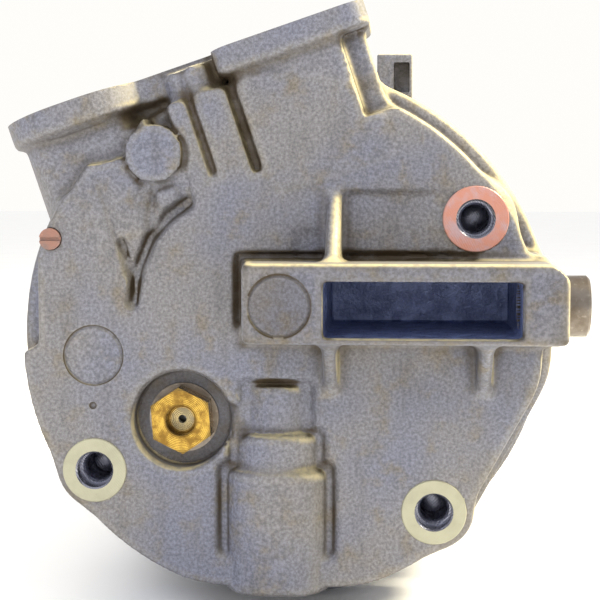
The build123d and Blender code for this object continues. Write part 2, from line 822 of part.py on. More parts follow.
def thrust_bearing():
    """Needles of the thrust bearing between the wobble plate and the journal."""
    middle = y_wobble + plate_half + thrust_thick / 2
    needle_radius = thrust_thick / 2 - running
    needles = []
    for k in range(needle_count):
        needles.append(spin(sideways(needle_radius, journal_sleeve + 4.0, journal_radius - 3.0, middle, 0),
                            360.0 / needle_count * k))
    return needles


def journal():
    """Tilting drive plate: a sleeve inside the wobble plate and a disc in front of it."""
    body = disc(journal_sleeve, y_wobble - plate_half - 2.8, y_journal)
    body += disc(journal_radius, y_journal, y_journal_front)
    body += brick(-3.0, 3.0, y_journal_front - 1, y_journal_front + 7.0,
                  journal_radius - 8.0, journal_radius - 2.0)
    body -= Pos(0, y_wobble, 0) * Sphere(pivot_radius + running)
    mouth = shaft_radius / cos(radians(tilt_limit)) + free
    flare = tan(radians(tilt_limit))
    for turn, length in ((0, y_journal_front - y_wobble + 1), (180, plate_half + 4.0)):
        body -= along_y(0, y_wobble, 0) * Rot(turn, 0, 0) * Cone(
            mouth, mouth + length * flare, length, align=(Align.CENTER, Align.CENTER, Align.MIN))
    body -= drive_pin()
    return body


def drive_pin():
    return sideways(drive_pin_radius, -5.0, 5.0, y_journal_front + 4.4, journal_radius - 5.0)


def journal_snap_ring():
    y0 = y_wobble - plate_half - 1.6
    return ring(journal_sleeve + 2.2, journal_sleeve, y0, y0 + 1.3)


def pivot_ball():
    ball = Pos(0, y_wobble, 0) * Sphere(pivot_radius)
    reach = pivot_radius * 0.42
    ball &= disc(pivot_radius, y_wobble - reach, y_wobble + reach)
    return ball - disc(shaft_radius, y_wobble - 20, y_wobble + 20)


def drive_lug():
    lug = ring(lug_radius, shaft_radius, y_lug, y_lug_front)
    window = brick(-12.0, 12.0, y_lug - 1, y_lug_front + 1, journal_radius - 20.0, journal_radius + 2.0)
    lug -= fillet(window.edges().filter_by(Axis.Y), 2.0)
    return lug - disc(4.0, y_lug - 1, y_lug_front + 1, 0, -lug_radius + 12.0)


def thrust_washer():
    return ring(shaft_radius + 12.0, shaft_radius + 3.5, y_lug_front + running, y_wall)


def shaft():
    body = disc(shaft_radius, shaft_rear_y, y_nose + 0.5)
    body += disc(hub_bore, y_nose + 0.5, y_nut)
    body += disc(shaft_thread, y_nut, y_shaft_end)
    return chamfer(body.edges().filter_by(GeomType.CIRCLE).sort_by(Axis.Y)[-1:], 0.8)


def rear_shaft_bearing():
    y1 = min(shaft_rear_y + 2.0 + rear_bearing_length, y_block_front - 2.0)
    return ring(central_bore, shaft_radius + running, shaft_rear_y + 2.0, y1)


def front_shaft_bearing():
    return ring(central_bore, shaft_radius + running, y_front_bearing, y_front_bearing + front_bearing_length)


def shaft_seal():
    y0 = y_seal
    seal = ring(seal_radius, seal_radius - 2.0, y0, y0 + seal_width)
    seal += ring(seal_radius - 2.0, shaft_radius + running, y0 + 1.0, y0 + 3.0)
    return seal


def seal_snap_ring():
    y0 = y_seal + seal_width
    clip = ring(seal_radius, seal_radius - 2.6, y0, y0 + clip_thick)
    return clip - brick(-2.5, 2.5, y0 - 1, y0 + 3, 0, seal_radius + 3)


# ---------------------------------------------------------------- clutch
def coil_case():
    case = ring(coil_outer, coil_inner, y_wall_out, y_coil_front)
    case -= ring(coil_outer - coil_wall, coil_inner + coil_wall, y_wall_out + coil_floor, y_coil_front)
    tabs = ring(coil_inner, nose_radius + 4.0, y_wall_out, y_wall_out + 1.6)
    return case + tabs


def coil_winding():
    return ring(coil_outer - coil_wall, coil_inner + coil_wall, y_wall_out + coil_floor, y_coil_front - 0.6)


def coil_connector():
    """Plug socket of the coil, on a flat lead that passes behind the pulley."""
    lead_y1 = pulley_y0 - lead_gap
    lead_y0 = lead_y1 - lead_thick
    cone_slope = (cone_radius - coil_outer + cone_inset) / (y_wall_out - y_shoulder)
    cone_at_lead = coil_outer - cone_inset + cone_slope * (y_wall_out - lead_y0)
    foot_z = coil_outer - coil_wall + 0.8
    lead_z = max(foot_z, cone_at_lead + free)
    top = housing_radius + 1.5
    lead = brick(-lead_half, lead_half, lead_y0, lead_y1, lead_z, top + 2.0)
    foot_top = min(lead_z + 2.5, coil_outer + coil_ring_gap - free)
    foot = brick(-lead_half, lead_half, lead_y1 - 0.5, y_wall_out, foot_z, foot_top)
    shell_y0 = lead_y0 - plug_shell_length
    shell = brick(-plug_half, plug_half, shell_y0, lead_y1 + 1.5, top, top + plug_shell_height)
    shell = fillet(shell.edges().filter_by(Axis.Y), 1.5)
    shell -= brick(plug_wall - plug_half, plug_half - plug_wall, shell_y0 - 1.0, lead_y0 - 4.0,
                   top + plug_wall, top + plug_shell_height - plug_wall)
    for x in (-3.4, 2.2):
        shell += brick(x, x + 1.2, shell_y0 + 4.0, lead_y0 - 3.0, top + 5.0, top + 6.0)
    return shell + lead + foot


def coil_snap_ring():
    y0 = y_wall_out + 1.6
    clip = ring(nose_radius + 7.0, nose_radius + 4.0, y0, y0 + 1.3)
    return clip - brick(-3, 3, y0 - 1, y0 + 3, -nose_radius - 12, 0)


# Pulley bearing
ball_circle = (nose_radius + bearing_outer) / 2
ball_rows = (y_bearing + bearing_width * 0.27, y_bearing + bearing_width * 0.73)


def race(outer, inner):
    body = ring(outer, inner, y_bearing, y_bearing + bearing_width)
    for y in ball_rows:
        body -= torus(ball_circle, ball_bearing_ball + running, y)
    return body


def bearing_ball_set():
    balls = []
    for y in ball_rows:
        for k in range(bearing_balls):
            x, z = polar(ball_circle, 360.0 / bearing_balls * k)
            balls.append(Pos(x, y, z) * Sphere(ball_bearing_ball))
    return balls


def bearing_cage():
    cages = []
    for y in ball_rows:
        half = ball_bearing_ball + 0.6
        cage = ring(ball_circle + cage_half, ball_circle - cage_half, y - half, y + half)
        for k in range(bearing_balls):
            pocket = sideways(ball_bearing_ball + running, ball_circle - 5, ball_circle + 5, y, 0)
            cage -= spin(pocket, 360.0 / bearing_balls * k)
        cages.append(cage)
    return cages


def rotor_pulley():
    """Rotor with its friction face, hub ring and grooved belt ring."""
    hub_out = bearing_outer + rotor_hub_wall
    ring_in = coil_outer + coil_ring_gap
    groove_y = y_friction - 3.0 - belt_ribs * rib_pitch
    rim = [(ring_in, y_web), (ring_in, pulley_y0), (pulley_radius, pulley_y0), (pulley_radius, groove_y)]
    for k in range(belt_ribs):
        rim.append((pulley_radius - rib_depth, groove_y + (k + 0.5) * rib_pitch))
        rim.append((pulley_radius - 0.6, groove_y + (k + 1) * rib_pitch))
    rim += [(pulley_radius, y_friction - 2.4), (pulley_radius, y_friction)]
    rotor = turned(*rim, (bearing_outer, y_friction), (bearing_outer, y_bearing), (hub_out, y_bearing),
                   (hub_out, y_web))
    return cut_all(rotor, flux_slots(hub_out + 3.5, 30.0) + flux_slots(coil_outer - 2.0, 90.0))


def flux_slots(circle, phase):
    """Three arc slots through the friction web, which steer the magnetic flux."""
    slot = ring(circle + slot_half, circle - slot_half, y_web - 1, y_friction + 1)
    for k in range(3):
        slot -= spin(brick(0, circle + 5, y_web - 2, y_friction + 2, -5, 5), 120.0 * k + phase)
    return slot.solids()


def pulley_snap_ring():
    y0 = y_bearing + bearing_width
    clip = ring(bearing_outer, bearing_outer - 2.4, y0, y0 + 1.2)
    return clip - brick(-2.5, 2.5, y0 - 1, y0 + 3, 0, bearing_outer + 3)


def nose_snap_ring():
    y0 = y_bearing + bearing_width
    clip = ring(nose_radius + 2.2, nose_radius, y0, y0 + 1.2)
    return clip - brick(-2.5, 2.5, y0 - 1, y0 + 3, 0, nose_radius + 6)


def armature_plate():
    plate = ring(armature_radius, armature_inner, y_armature, y_armature_front)
    middle = (armature_radius + armature_inner) / 2 - 1.0
    slot = ring(middle + 1.2, middle - 1.2, y_armature - 1, y_armature_front + 1)
    bridge = brick(0, armature_radius, y_armature - 2, y_armature_front + 2, -7.0, 7.0)
    for k in range(3):
        slot -= spin(bridge, 120.0 * k + 90.0)
    return plate - slot


def armature_rivets():
    rivets = []
    for k in range(3):
        x, z = polar(rivet_circle, 120.0 * k + 90.0)
        rivet = disc(rivet_radius, y_armature_front, y_hub_front + 0.8, x, z)
        rivets.append(rivet + disc(rivet_radius + 2.0, y_hub_front + 0.8, y_hub_front + 2.4, x, z))
    return rivets


def clutch_hub():
    """Hub barrel with its three-armed flange."""
    hub = disc(hub_radius, y_nose + 1.2, y_nut)
    arms = disc(arm_circle, y_hub_flange, y_hub_front)
    for k in range(3):
        x, z = polar(rivet_circle, 120.0 * k + 90.0)
        arms += disc(arm_half, y_hub_flange, y_hub_front, x, z)
        arms += spin(brick(0, rivet_circle, y_hub_flange, y_hub_front, -arm_half, arm_half), 120.0 * k + 90.0)
    hub += arms
    for k in range(3):
        x, z = polar(rivet_circle, 120.0 * k + 90.0)
        hub -= disc(rivet_radius + free, y_hub_flange - 1, y_hub_front + 1, x, z)
    return hub - disc(hub_bore, y_nose - 1, y_nut + 1)


def leaf_springs():
    """Three flat springs behind the hub's arms."""
    leaves = []
    for k in range(3):
        x, z = polar(rivet_circle, 120.0 * k + 90.0)
        leaf = spin(brick(14.0, rivet_circle, y_leaf, y_hub_flange, -leaf_half, leaf_half), 120.0 * k + 90.0)
        leaf += disc(leaf_half, y_leaf, y_hub_flange, x, z)
        leaves.append(leaf - disc(rivet_radius + free, y_leaf - 1, y_hub_flange + 1, x, z))
    return leaves


def hub_nut():
    nut = hexagon(nut_across, y_nut, y_nut + nut_height)
    nut &= Pos(0, y_nut + nut_height / 2 - 1.0, 0) * Sphere(nut_across * 0.62)
    return nut - disc(shaft_thread, y_nut - 1, y_nut + nut_height + 1)


# ---------------------------------------------------------------- all nodes
def main():
    save("rear_head", rear_head())
    save("slotted_plug", slotted_plug())
    save("ear_bushing", ear_bushing())
    save("relief_valve_body", relief_valve_body())
    save("relief_valve_washer", ring(relief_shank + 3.0, relief_shank, relief_floor - relief_washer_thick,
                                     relief_floor, relief_x, relief_z))
    save("relief_spring", relief_spring())
    save("relief_poppet", relief_poppet())
    save("relief_cap", relief_cap())
    save("control_valve_body", control_valve_body())
    save("control_valve_orings", control_valve_orings())
    save("control_valve_rod", control_valve_rod())
    save("head_gasket", head_gasket())
    save("discharge_reed", discharge_reed())
    save("valve_plate", valve_plate())
    save("suction_reed", suction_reed())
    save("cylinder_gasket", cylinder_gasket())
    save("cylinder_block", cylinder_block())
    save("block_oring", block_oring())
    save("front_head", front_head())
    save("through_bolts", through_bolts())
    save("drain_plug", drain_plug())
    save("guide_pin", guide_pin())
    save("guide_bush", guide_bush())
    for k, angle in enumerate(bore_angles(), start=1):
        save(f"piston_{k}", piston(angle))
        save(f"connecting_rod_{k}", connecting_rod(angle))
    save("wobble_plate", wobble_plate())
    save("journal_bush", journal_bush())
    save("thrust_bearing", thrust_bearing())
    save("journal", journal())
    save("drive_pin", drive_pin())
    save("journal_snap_ring", journal_snap_ring())
    save("pivot_ball", pivot_ball())
    save("drive_lug", drive_lug())
    save("thrust_washer", thrust_washer())
    save("shaft", shaft())
    save("shaft_bearings", [rear_shaft_bearing(), front_shaft_bearing()])
    save("shaft_seal", shaft_seal())
    save("snap_rings", [control_valve_snap_ring(), seal_snap_ring(), coil_snap_ring(), nose_snap_ring()])
    save("coil_case", coil_case())
    save("coil_winding", coil_winding())
    save("coil_connector", coil_connector())
    save("bearing_inner_race", race(ball_circle - race_step, nose_radius))
    save("bearing_outer_race", race(bearing_outer, ball_circle + race_step))
    save("bearing_balls", bearing_ball_set())
    save("bearing_cages", bearing_cage())
    save("rotor_pulley", rotor_pulley())
    save("pulley_snap_ring", pulley_snap_ring())
    save("armature_plate", armature_plate())
    save("armature_rivets", armature_rivets())
    save("clutch_hub", clutch_hub())
    save("leaf_springs", leaf_springs())
    save("hub_nut", hub_nut())


main()
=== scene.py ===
"""Looks of the air-conditioning compressor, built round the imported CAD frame.

Shapes are worked out in millimetres and made into Blender meshes in metres. The rear head is a solid
modelled as signed distances on a grid, which gives every corner its cast fillet; the machined faces and
bores are then cut into it crisply. The block and the front head are softened copies of their CAD meshes.
"""

import json
import math

import bmesh
import bpy
import numpy as np
import openvdb
from mathutils import Matrix, Vector


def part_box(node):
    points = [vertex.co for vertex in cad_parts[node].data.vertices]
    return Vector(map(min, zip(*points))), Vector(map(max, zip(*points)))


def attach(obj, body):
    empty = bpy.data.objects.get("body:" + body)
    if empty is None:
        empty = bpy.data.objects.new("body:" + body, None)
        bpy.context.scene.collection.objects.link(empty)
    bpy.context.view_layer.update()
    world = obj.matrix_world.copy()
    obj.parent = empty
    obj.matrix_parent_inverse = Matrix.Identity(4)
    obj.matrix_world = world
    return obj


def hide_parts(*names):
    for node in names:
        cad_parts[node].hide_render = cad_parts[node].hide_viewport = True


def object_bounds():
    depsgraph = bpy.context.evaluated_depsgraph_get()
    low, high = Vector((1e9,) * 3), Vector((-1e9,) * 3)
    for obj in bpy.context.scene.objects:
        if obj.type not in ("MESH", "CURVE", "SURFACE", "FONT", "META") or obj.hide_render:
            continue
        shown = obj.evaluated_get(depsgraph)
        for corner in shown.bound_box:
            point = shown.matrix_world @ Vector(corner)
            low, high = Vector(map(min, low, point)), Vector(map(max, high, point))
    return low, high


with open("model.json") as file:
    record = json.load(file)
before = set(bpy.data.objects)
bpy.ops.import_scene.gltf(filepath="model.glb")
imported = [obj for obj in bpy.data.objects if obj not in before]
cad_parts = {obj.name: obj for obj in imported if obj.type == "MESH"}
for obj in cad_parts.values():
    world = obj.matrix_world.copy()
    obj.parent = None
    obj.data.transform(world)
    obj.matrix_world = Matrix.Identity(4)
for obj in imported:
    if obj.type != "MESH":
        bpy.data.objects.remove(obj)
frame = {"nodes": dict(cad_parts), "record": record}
cad_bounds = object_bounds()
MM = 0.001


# ---------------------------------------------------------------- sizes read from the frame
def box_mm(node):
    low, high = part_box(node)
    return np.array(low) / MM, np.array(high) / MM


def centre_mm(node):
    low, high = box_mm(node)
    return (low + high) / 2


mounts = {m["name"]: m for m in frame["record"]["mounts"]}


def mount_mm(name):
    return np.array(mounts[name]["pos_m"]) / MM


RIM = box_mm("head_gasket")[1][0]
BODY = box_mm("cylinder_block")[1][0]
HEAD_END = box_mm("head_gasket")[0][1]
EAR_FRONT = box_mm("rear_head")[0][1]
EAR_RIGHT = 65.8
EAR_LEFT = -6.6
EAR_BOTTOM = 2.1
EAR_TOP = 20.1
EAR_DRAFT = math.tan(math.radians(5.6))
EAR_AXIS = mount_mm("ear_bore")
WINDOW_X = (11.4, 55.7)
WINDOW_Z = (3.4, 16.1)
BUSH_SEAT = 7.05
RIB_RISE = 15.5
UPPER_RIB = 16.0
LOWER_RIB = 14.5
FLANGE_START = 20.0
FLAT_ANGLE = math.radians(-29.0)
FLAT_RIM = 59.2
FLAT_FLANGE = 63.4
RIM_BOTTOM = 59.9
VALVE = centre_mm("control_valve_body")
RELIEF = centre_mm("relief_valve_body")
RELIEF_POCKET = 11.8
PLUG = centre_mm("slotted_plug")
HOLES = [mount_mm(n) for n in ("rear_hole_upper_right", "rear_hole_lower_left", "rear_hole_lower_right")]
SPOT_RADIUS = 7.8
SPOT_HEIGHT = 0.5
COUNTERBORE = 4.25
COUNTERBORE_DEPTH = 4.4
M8_DRILL, M8_PITCH = 3.4, 1.25
M10_DRILL, M10_PITCH = 4.25, 1.5
CAST_DISC = (-30.1, 45.0)
CAST_DISC_RADIUS = 6.9
LUG_BACK = box_mm("front_head")[0][1]
PLATE_TILT = math.radians(20.0)
PAD_NORMAL = np.array(mounts["suction_port"]["axis"])
PAD_ALONG = np.array([PAD_NORMAL[2], 0.0, -PAD_NORMAL[0]])
PAD_FACE = float(mount_mm("port_face") @ PAD_NORMAL)
PAD_LIP = 6.5
GRID_PITCH = 0.78


# ---------------------------------------------------------------- solids as signed distances
def smooth_min(a, b, k):
    """The smaller of two distances, with a fillet about k wide where they meet."""
    h = np.maximum(k - np.abs(a - b), 0) / k
    return np.minimum(a, b) - h * h * k * 0.25


def smooth_max(a, b, k):
    return -smooth_min(-a, -b, k)


def step(value, edge0, edge1):
    """Smooth 0 to 1 between two edges."""
    t = np.clip((value - edge0) / (edge1 - edge0), 0, 1)
    return t * t * (3 - 2 * t)


def inside_polygon(points, x, z):
    """Signed distance to a flat outline in (x, z), negative inside."""
    distance = np.full(np.broadcast(x, z).shape, 1e9, np.float32)
    sign = np.ones_like(distance)
    count = len(points)
    for i in range(count):
        ax, az = points[i]
        bx, bz = points[(i + 1) % count]
        ex, ez = bx - ax, bz - az
        t = np.clip(((x - ax) * ex + (z - az) * ez) / (ex * ex + ez * ez), 0, 1)
        distance = np.minimum(distance, np.hypot(x - ax - t * ex, z - az - t * ez))
        crosses = ((az > z) != (bz > z)) & (x < (bx - ax) * (z - az) / (bz - az + 1e-9) + ax)
        sign = np.where(crosses, -sign, sign)
    return distance * sign


def line_distance(points, x, z):
    """Distance to a bent line in (x, z)."""
    distance = np.full(np.broadcast(x, z).shape, 1e9, np.float32)
    for (ax, az), (bx, bz) in zip(points, points[1:]):
        ex, ez = bx - ax, bz - az
        t = np.clip(((x - ax) * ex + (z - az) * ez) / (ex * ex + ez * ez), 0, 1)
        distance = np.minimum(distance, np.hypot(x - ax - t * ex, z - az - t * ez))
    return distance


class Grid:
    """A block of space with one signed distance at each grid point, in mm."""

    def __init__(self, low, high, pitch):
        self.low = np.array(low, float)
        self.pitch = pitch
        axes = [np.arange(a, b + pitch, pitch, dtype=np.float32) for a, b in zip(low, high)]
        self.x = axes[0][:, None, None]
        self.y = axes[1][None, :, None]
        self.z = axes[2][None, None, :]
        self.solid = np.full([len(a) for a in axes], 100.0, np.float32)

    def disc(self, x, z, radius, y0, y1, edge=1.0):
        radial = np.hypot(self.x - x, self.z - z) - radius
        return smooth_max(radial, np.maximum(y0 - self.y, self.y - y1), edge)

    def upright(self, x, y, radius, z0, z1, edge=1.0):
        radial = np.hypot(self.x - x, self.y - y) - radius
        return smooth_max(radial, np.maximum(z0 - self.z, self.z - z1), edge)

    def brick(self, x0, x1, y0, y1, z0, z1, edge=1.0):
        wide = np.maximum(x0 - self.x, self.x - x1)
        high = np.maximum(z0 - self.z, self.z - z1)
        return smooth_max(smooth_max(wide, high, edge), np.maximum(y0 - self.y, self.y - y1), edge)

    def add(self, shape, fillet=1.0):
        self.solid = smooth_min(self.solid, shape, fillet)

    def cut(self, shape, fillet=1.0):
        self.solid = smooth_max(self.solid, -shape, fillet)

    def at(self, points):
        """Distances at points in mm, by linear interpolation."""
        place = (points - self.low) / self.pitch
        limit = np.array(self.solid.shape) - 1.001
        place = np.clip(place, 0, limit)
        cell = place.astype(int)
        part = place - cell
        total = 0
        for corner in np.ndindex(2, 2, 2):
            c = np.array(corner)
            weight = np.prod(np.where(c, part, 1 - part), axis=1)
            i = cell + c
            total = total + weight * self.solid[i[:, 0], i[:, 1], i[:, 2]]
        return total

    def mesh(self, name):
        grid = openvdb.FloatGrid(3.0)
        grid.copyFromArray(np.clip(self.solid / self.pitch, -3, 3).astype(np.float64))
        points, quads = grid.convertToQuads(isovalue=0.0)
        points = points * self.pitch + self.low
        return new_piece(name, points, quads.tolist())


def new_piece(name, points, faces):
    """Mesh object from points in mm."""
    mesh = bpy.data.meshes.new(name)
    mesh.from_pydata((np.asarray(points, float) * MM).tolist(), [], faces)
    mesh.update()
    piece = bpy.data.objects.new(name, mesh)
    bpy.context.scene.collection.objects.link(piece)
    work = bmesh.new()
    work.from_mesh(mesh)
    bmesh.ops.recalc_face_normals(work, faces=work.faces)
    work.to_mesh(mesh)
    work.free()
    return piece


def lathe(name, profile, axis_point, axis="Y", segments=96):
    """Closed turned piece from (radius, along) points in mm; a zero radius closes on the axis."""
    points, faces, rows = [], [], []
    for radius, along in profile:
        if radius < 1e-6:
            rows.append([len(points)])
            points.append((0.0, along, 0.0))
            continue
        rows.append([len(points) + k for k in range(segments)])
        for k in range(segments):
            a = 2 * math.pi * k / segments
            points.append((radius * math.cos(a), along, radius * math.sin(a)))
    for i in range(len(rows)):
        low, high = rows[i], rows[(i + 1) % len(rows)]
        if len(low) == 1 and len(high) == 1:
            continue
        for k in range(segments):
            n = (k + 1) % segments
            quad = [low[k % len(low)], low[n % len(low)], high[n % len(high)], high[k % len(high)]]
            faces.append(list(dict.fromkeys(quad)))
    points = np.array(points)
    if axis == "X":
        points = points[:, [1, 0, 2]]
    elif axis == "Z":
        points = points[:, [0, 2, 1]]
    return new_piece(name, points + np.array(axis_point, float), faces)


def lathe_along(name, profile, origin, direction, segments=72):
    """Turned piece whose axis runs from origin along any direction."""
    piece = lathe(name, profile, (0, 0, 0), segments=segments)
    turn = Vector((0, 1, 0)).rotation_difference(Vector(direction)).to_matrix().to_4x4()
    piece.data.transform(Matrix.Translation(Vector(origin) * MM) @ turn)
    return piece


def cut_out(piece, tools, operation="DIFFERENCE"):
    """Exact cuts or joins by closed tool meshes, which are removed afterwards."""
    for tool in tools:
        change = piece.modifiers.new("cut", "BOOLEAN")
        change.operation = operation
        change.solver = "MANIFOLD"
        change.object = tool
        apply_modifiers(piece)
        bpy.data.objects.remove(tool)


def apply_modifiers(piece):
    bpy.context.view_layer.update()
    graph = bpy.context.evaluated_depsgraph_get()
    mesh = bpy.data.meshes.new_from_object(piece.evaluated_get(graph))
    piece.modifiers.clear()
    old = piece.data
    piece.data = mesh
    bpy.data.meshes.remove(old)


def smooth_shade(piece, angle=38.0):
    piece.data.polygons.foreach_set("use_smooth", [True] * len(piece.data.polygons))
    piece.data.set_sharp_from_angle(angle=math.radians(angle))


# ---------------------------------------------------------------- rear head
def back_relief(x, z):
    """Depth of the cast back face at (x, z), in mm; positive is sunk."""
    height = np.zeros(np.broadcast(x, z).shape, np.float32)

    def sink(distance, depth, soft):
        nonlocal height
        height = height + depth * (1 - step(distance, -soft, soft))

    # sunk field below the suction neck, with its pads
    field = inside_polygon([(-44.6, 42.0), (-41.1, 31.9), (-37.5, 20.6), (-35.2, 8.0), (-33.5, 17.3),
                            (-30.6, 24.2), (-26.0, 28.7), (-20.4, 32.4), (-22.2, 40.4), (-30.1, 37.2),
                            (-37.0, 41.4)], x, z)
    sink(field, 1.4, 0.9)
    for pad in ([(-43.0, 41.0), (-36.8, 42.6), (-34.0, 38.4), (-33.8, 35.6), (-39.0, 33.6), (-40.9, 36.4)],
                [(-29.8, 36.0), (-25.0, 37.4), (-23.8, 34.4), (-28.9, 31.0)]):
        sink(inside_polygon(pad, x, z), -0.9, 0.5)
    for line, depth, narrow, wide in (
            ([(-43.0, 37.5), (-41.1, 31.9), (-37.6, 20.6), (-36.6, 16.5)], 1.7, 0.2, 1.7),
            ([(-22.4, 33.4), (-27.0, 29.9), (-31.2, 24.9), (-34.2, 17.6), (-35.7, 9.5)], 2.4, 0.4, 2.5),
            ([(-31.0, 35.5), (-31.4, 28.0)], 1.4, 0.3, 1.6),
            ([(-39.7, 32.3), (-33.0, 34.8)], 0.9, 0.1, 1.1)):
        height = height + depth * (1 - step(line_distance(line, x, z), narrow, wide))
    # channel round the valve boss
    vx = VALVE[0]
    for half, low, high in ((9.4, -22.5, -9.0), (12.2, -31.0, -20.6), (14.6, -52.8, -28.6)):
        channel = smooth_max(np.abs(x - vx) - half, np.maximum(low - z, z - high), 2.0)
        height = np.maximum(height, 2.3 * (1 - step(channel, -1.6, 0.9)))
    # shallow dish beside the upper rib and behind the ear
    dish = smooth_max(np.maximum(14.0 - x, x - 62.0), np.maximum(18.0 - z, z - 36.0), 3.0)
    height += 2.1 * (1 - step(dish, -1.2, 1.0)) * (1 - step(x, 24.0, 52.0))
    dish = smooth_max(np.maximum(3.0 - x, x - 12.0), np.maximum(18.0 - z, z - 27.0), 3.0)
    height += 0.9 * (1 - step(dish, -2.0, 1.5))
    # shadow line where the ear rises from the face
    beside = smooth_max(np.maximum(-9.0 - x, x - 90.0), np.maximum(-20.0 - z, z - 19.7), 1.0)
    line = (1 - step(np.abs(beside - 0.9), 0.2, 1.2)) * step(z, 2.0, 5.0) * (1 - step(x, 46.0, 58.0))
    return height + 1.4 * line


def pad_outline(u, y, inset):
    """Two lobes joined by a narrower waist, as a flat distance in the pad's plane."""
    left = np.hypot(np.maximum(np.abs(u + 30.5) - 2.2, 0), y - 14.0) - (15.7 - inset)
    qx = np.abs(u - 25.3) - (19.1 - inset - 5.0)
    qy = np.abs(y - 14.0) - (16.2 - inset - 5.0)
    right = np.hypot(np.maximum(qx, 0), np.maximum(qy, 0)) + np.minimum(np.maximum(qx, qy), 0) - 5.0
    waist = smooth_max(np.abs(u + 1.5) - 26.9, np.abs(y - 16.5) - (9.7 - inset), 1.0)
    return smooth_min(smooth_min(left, right, 1.0), waist, 1.5)


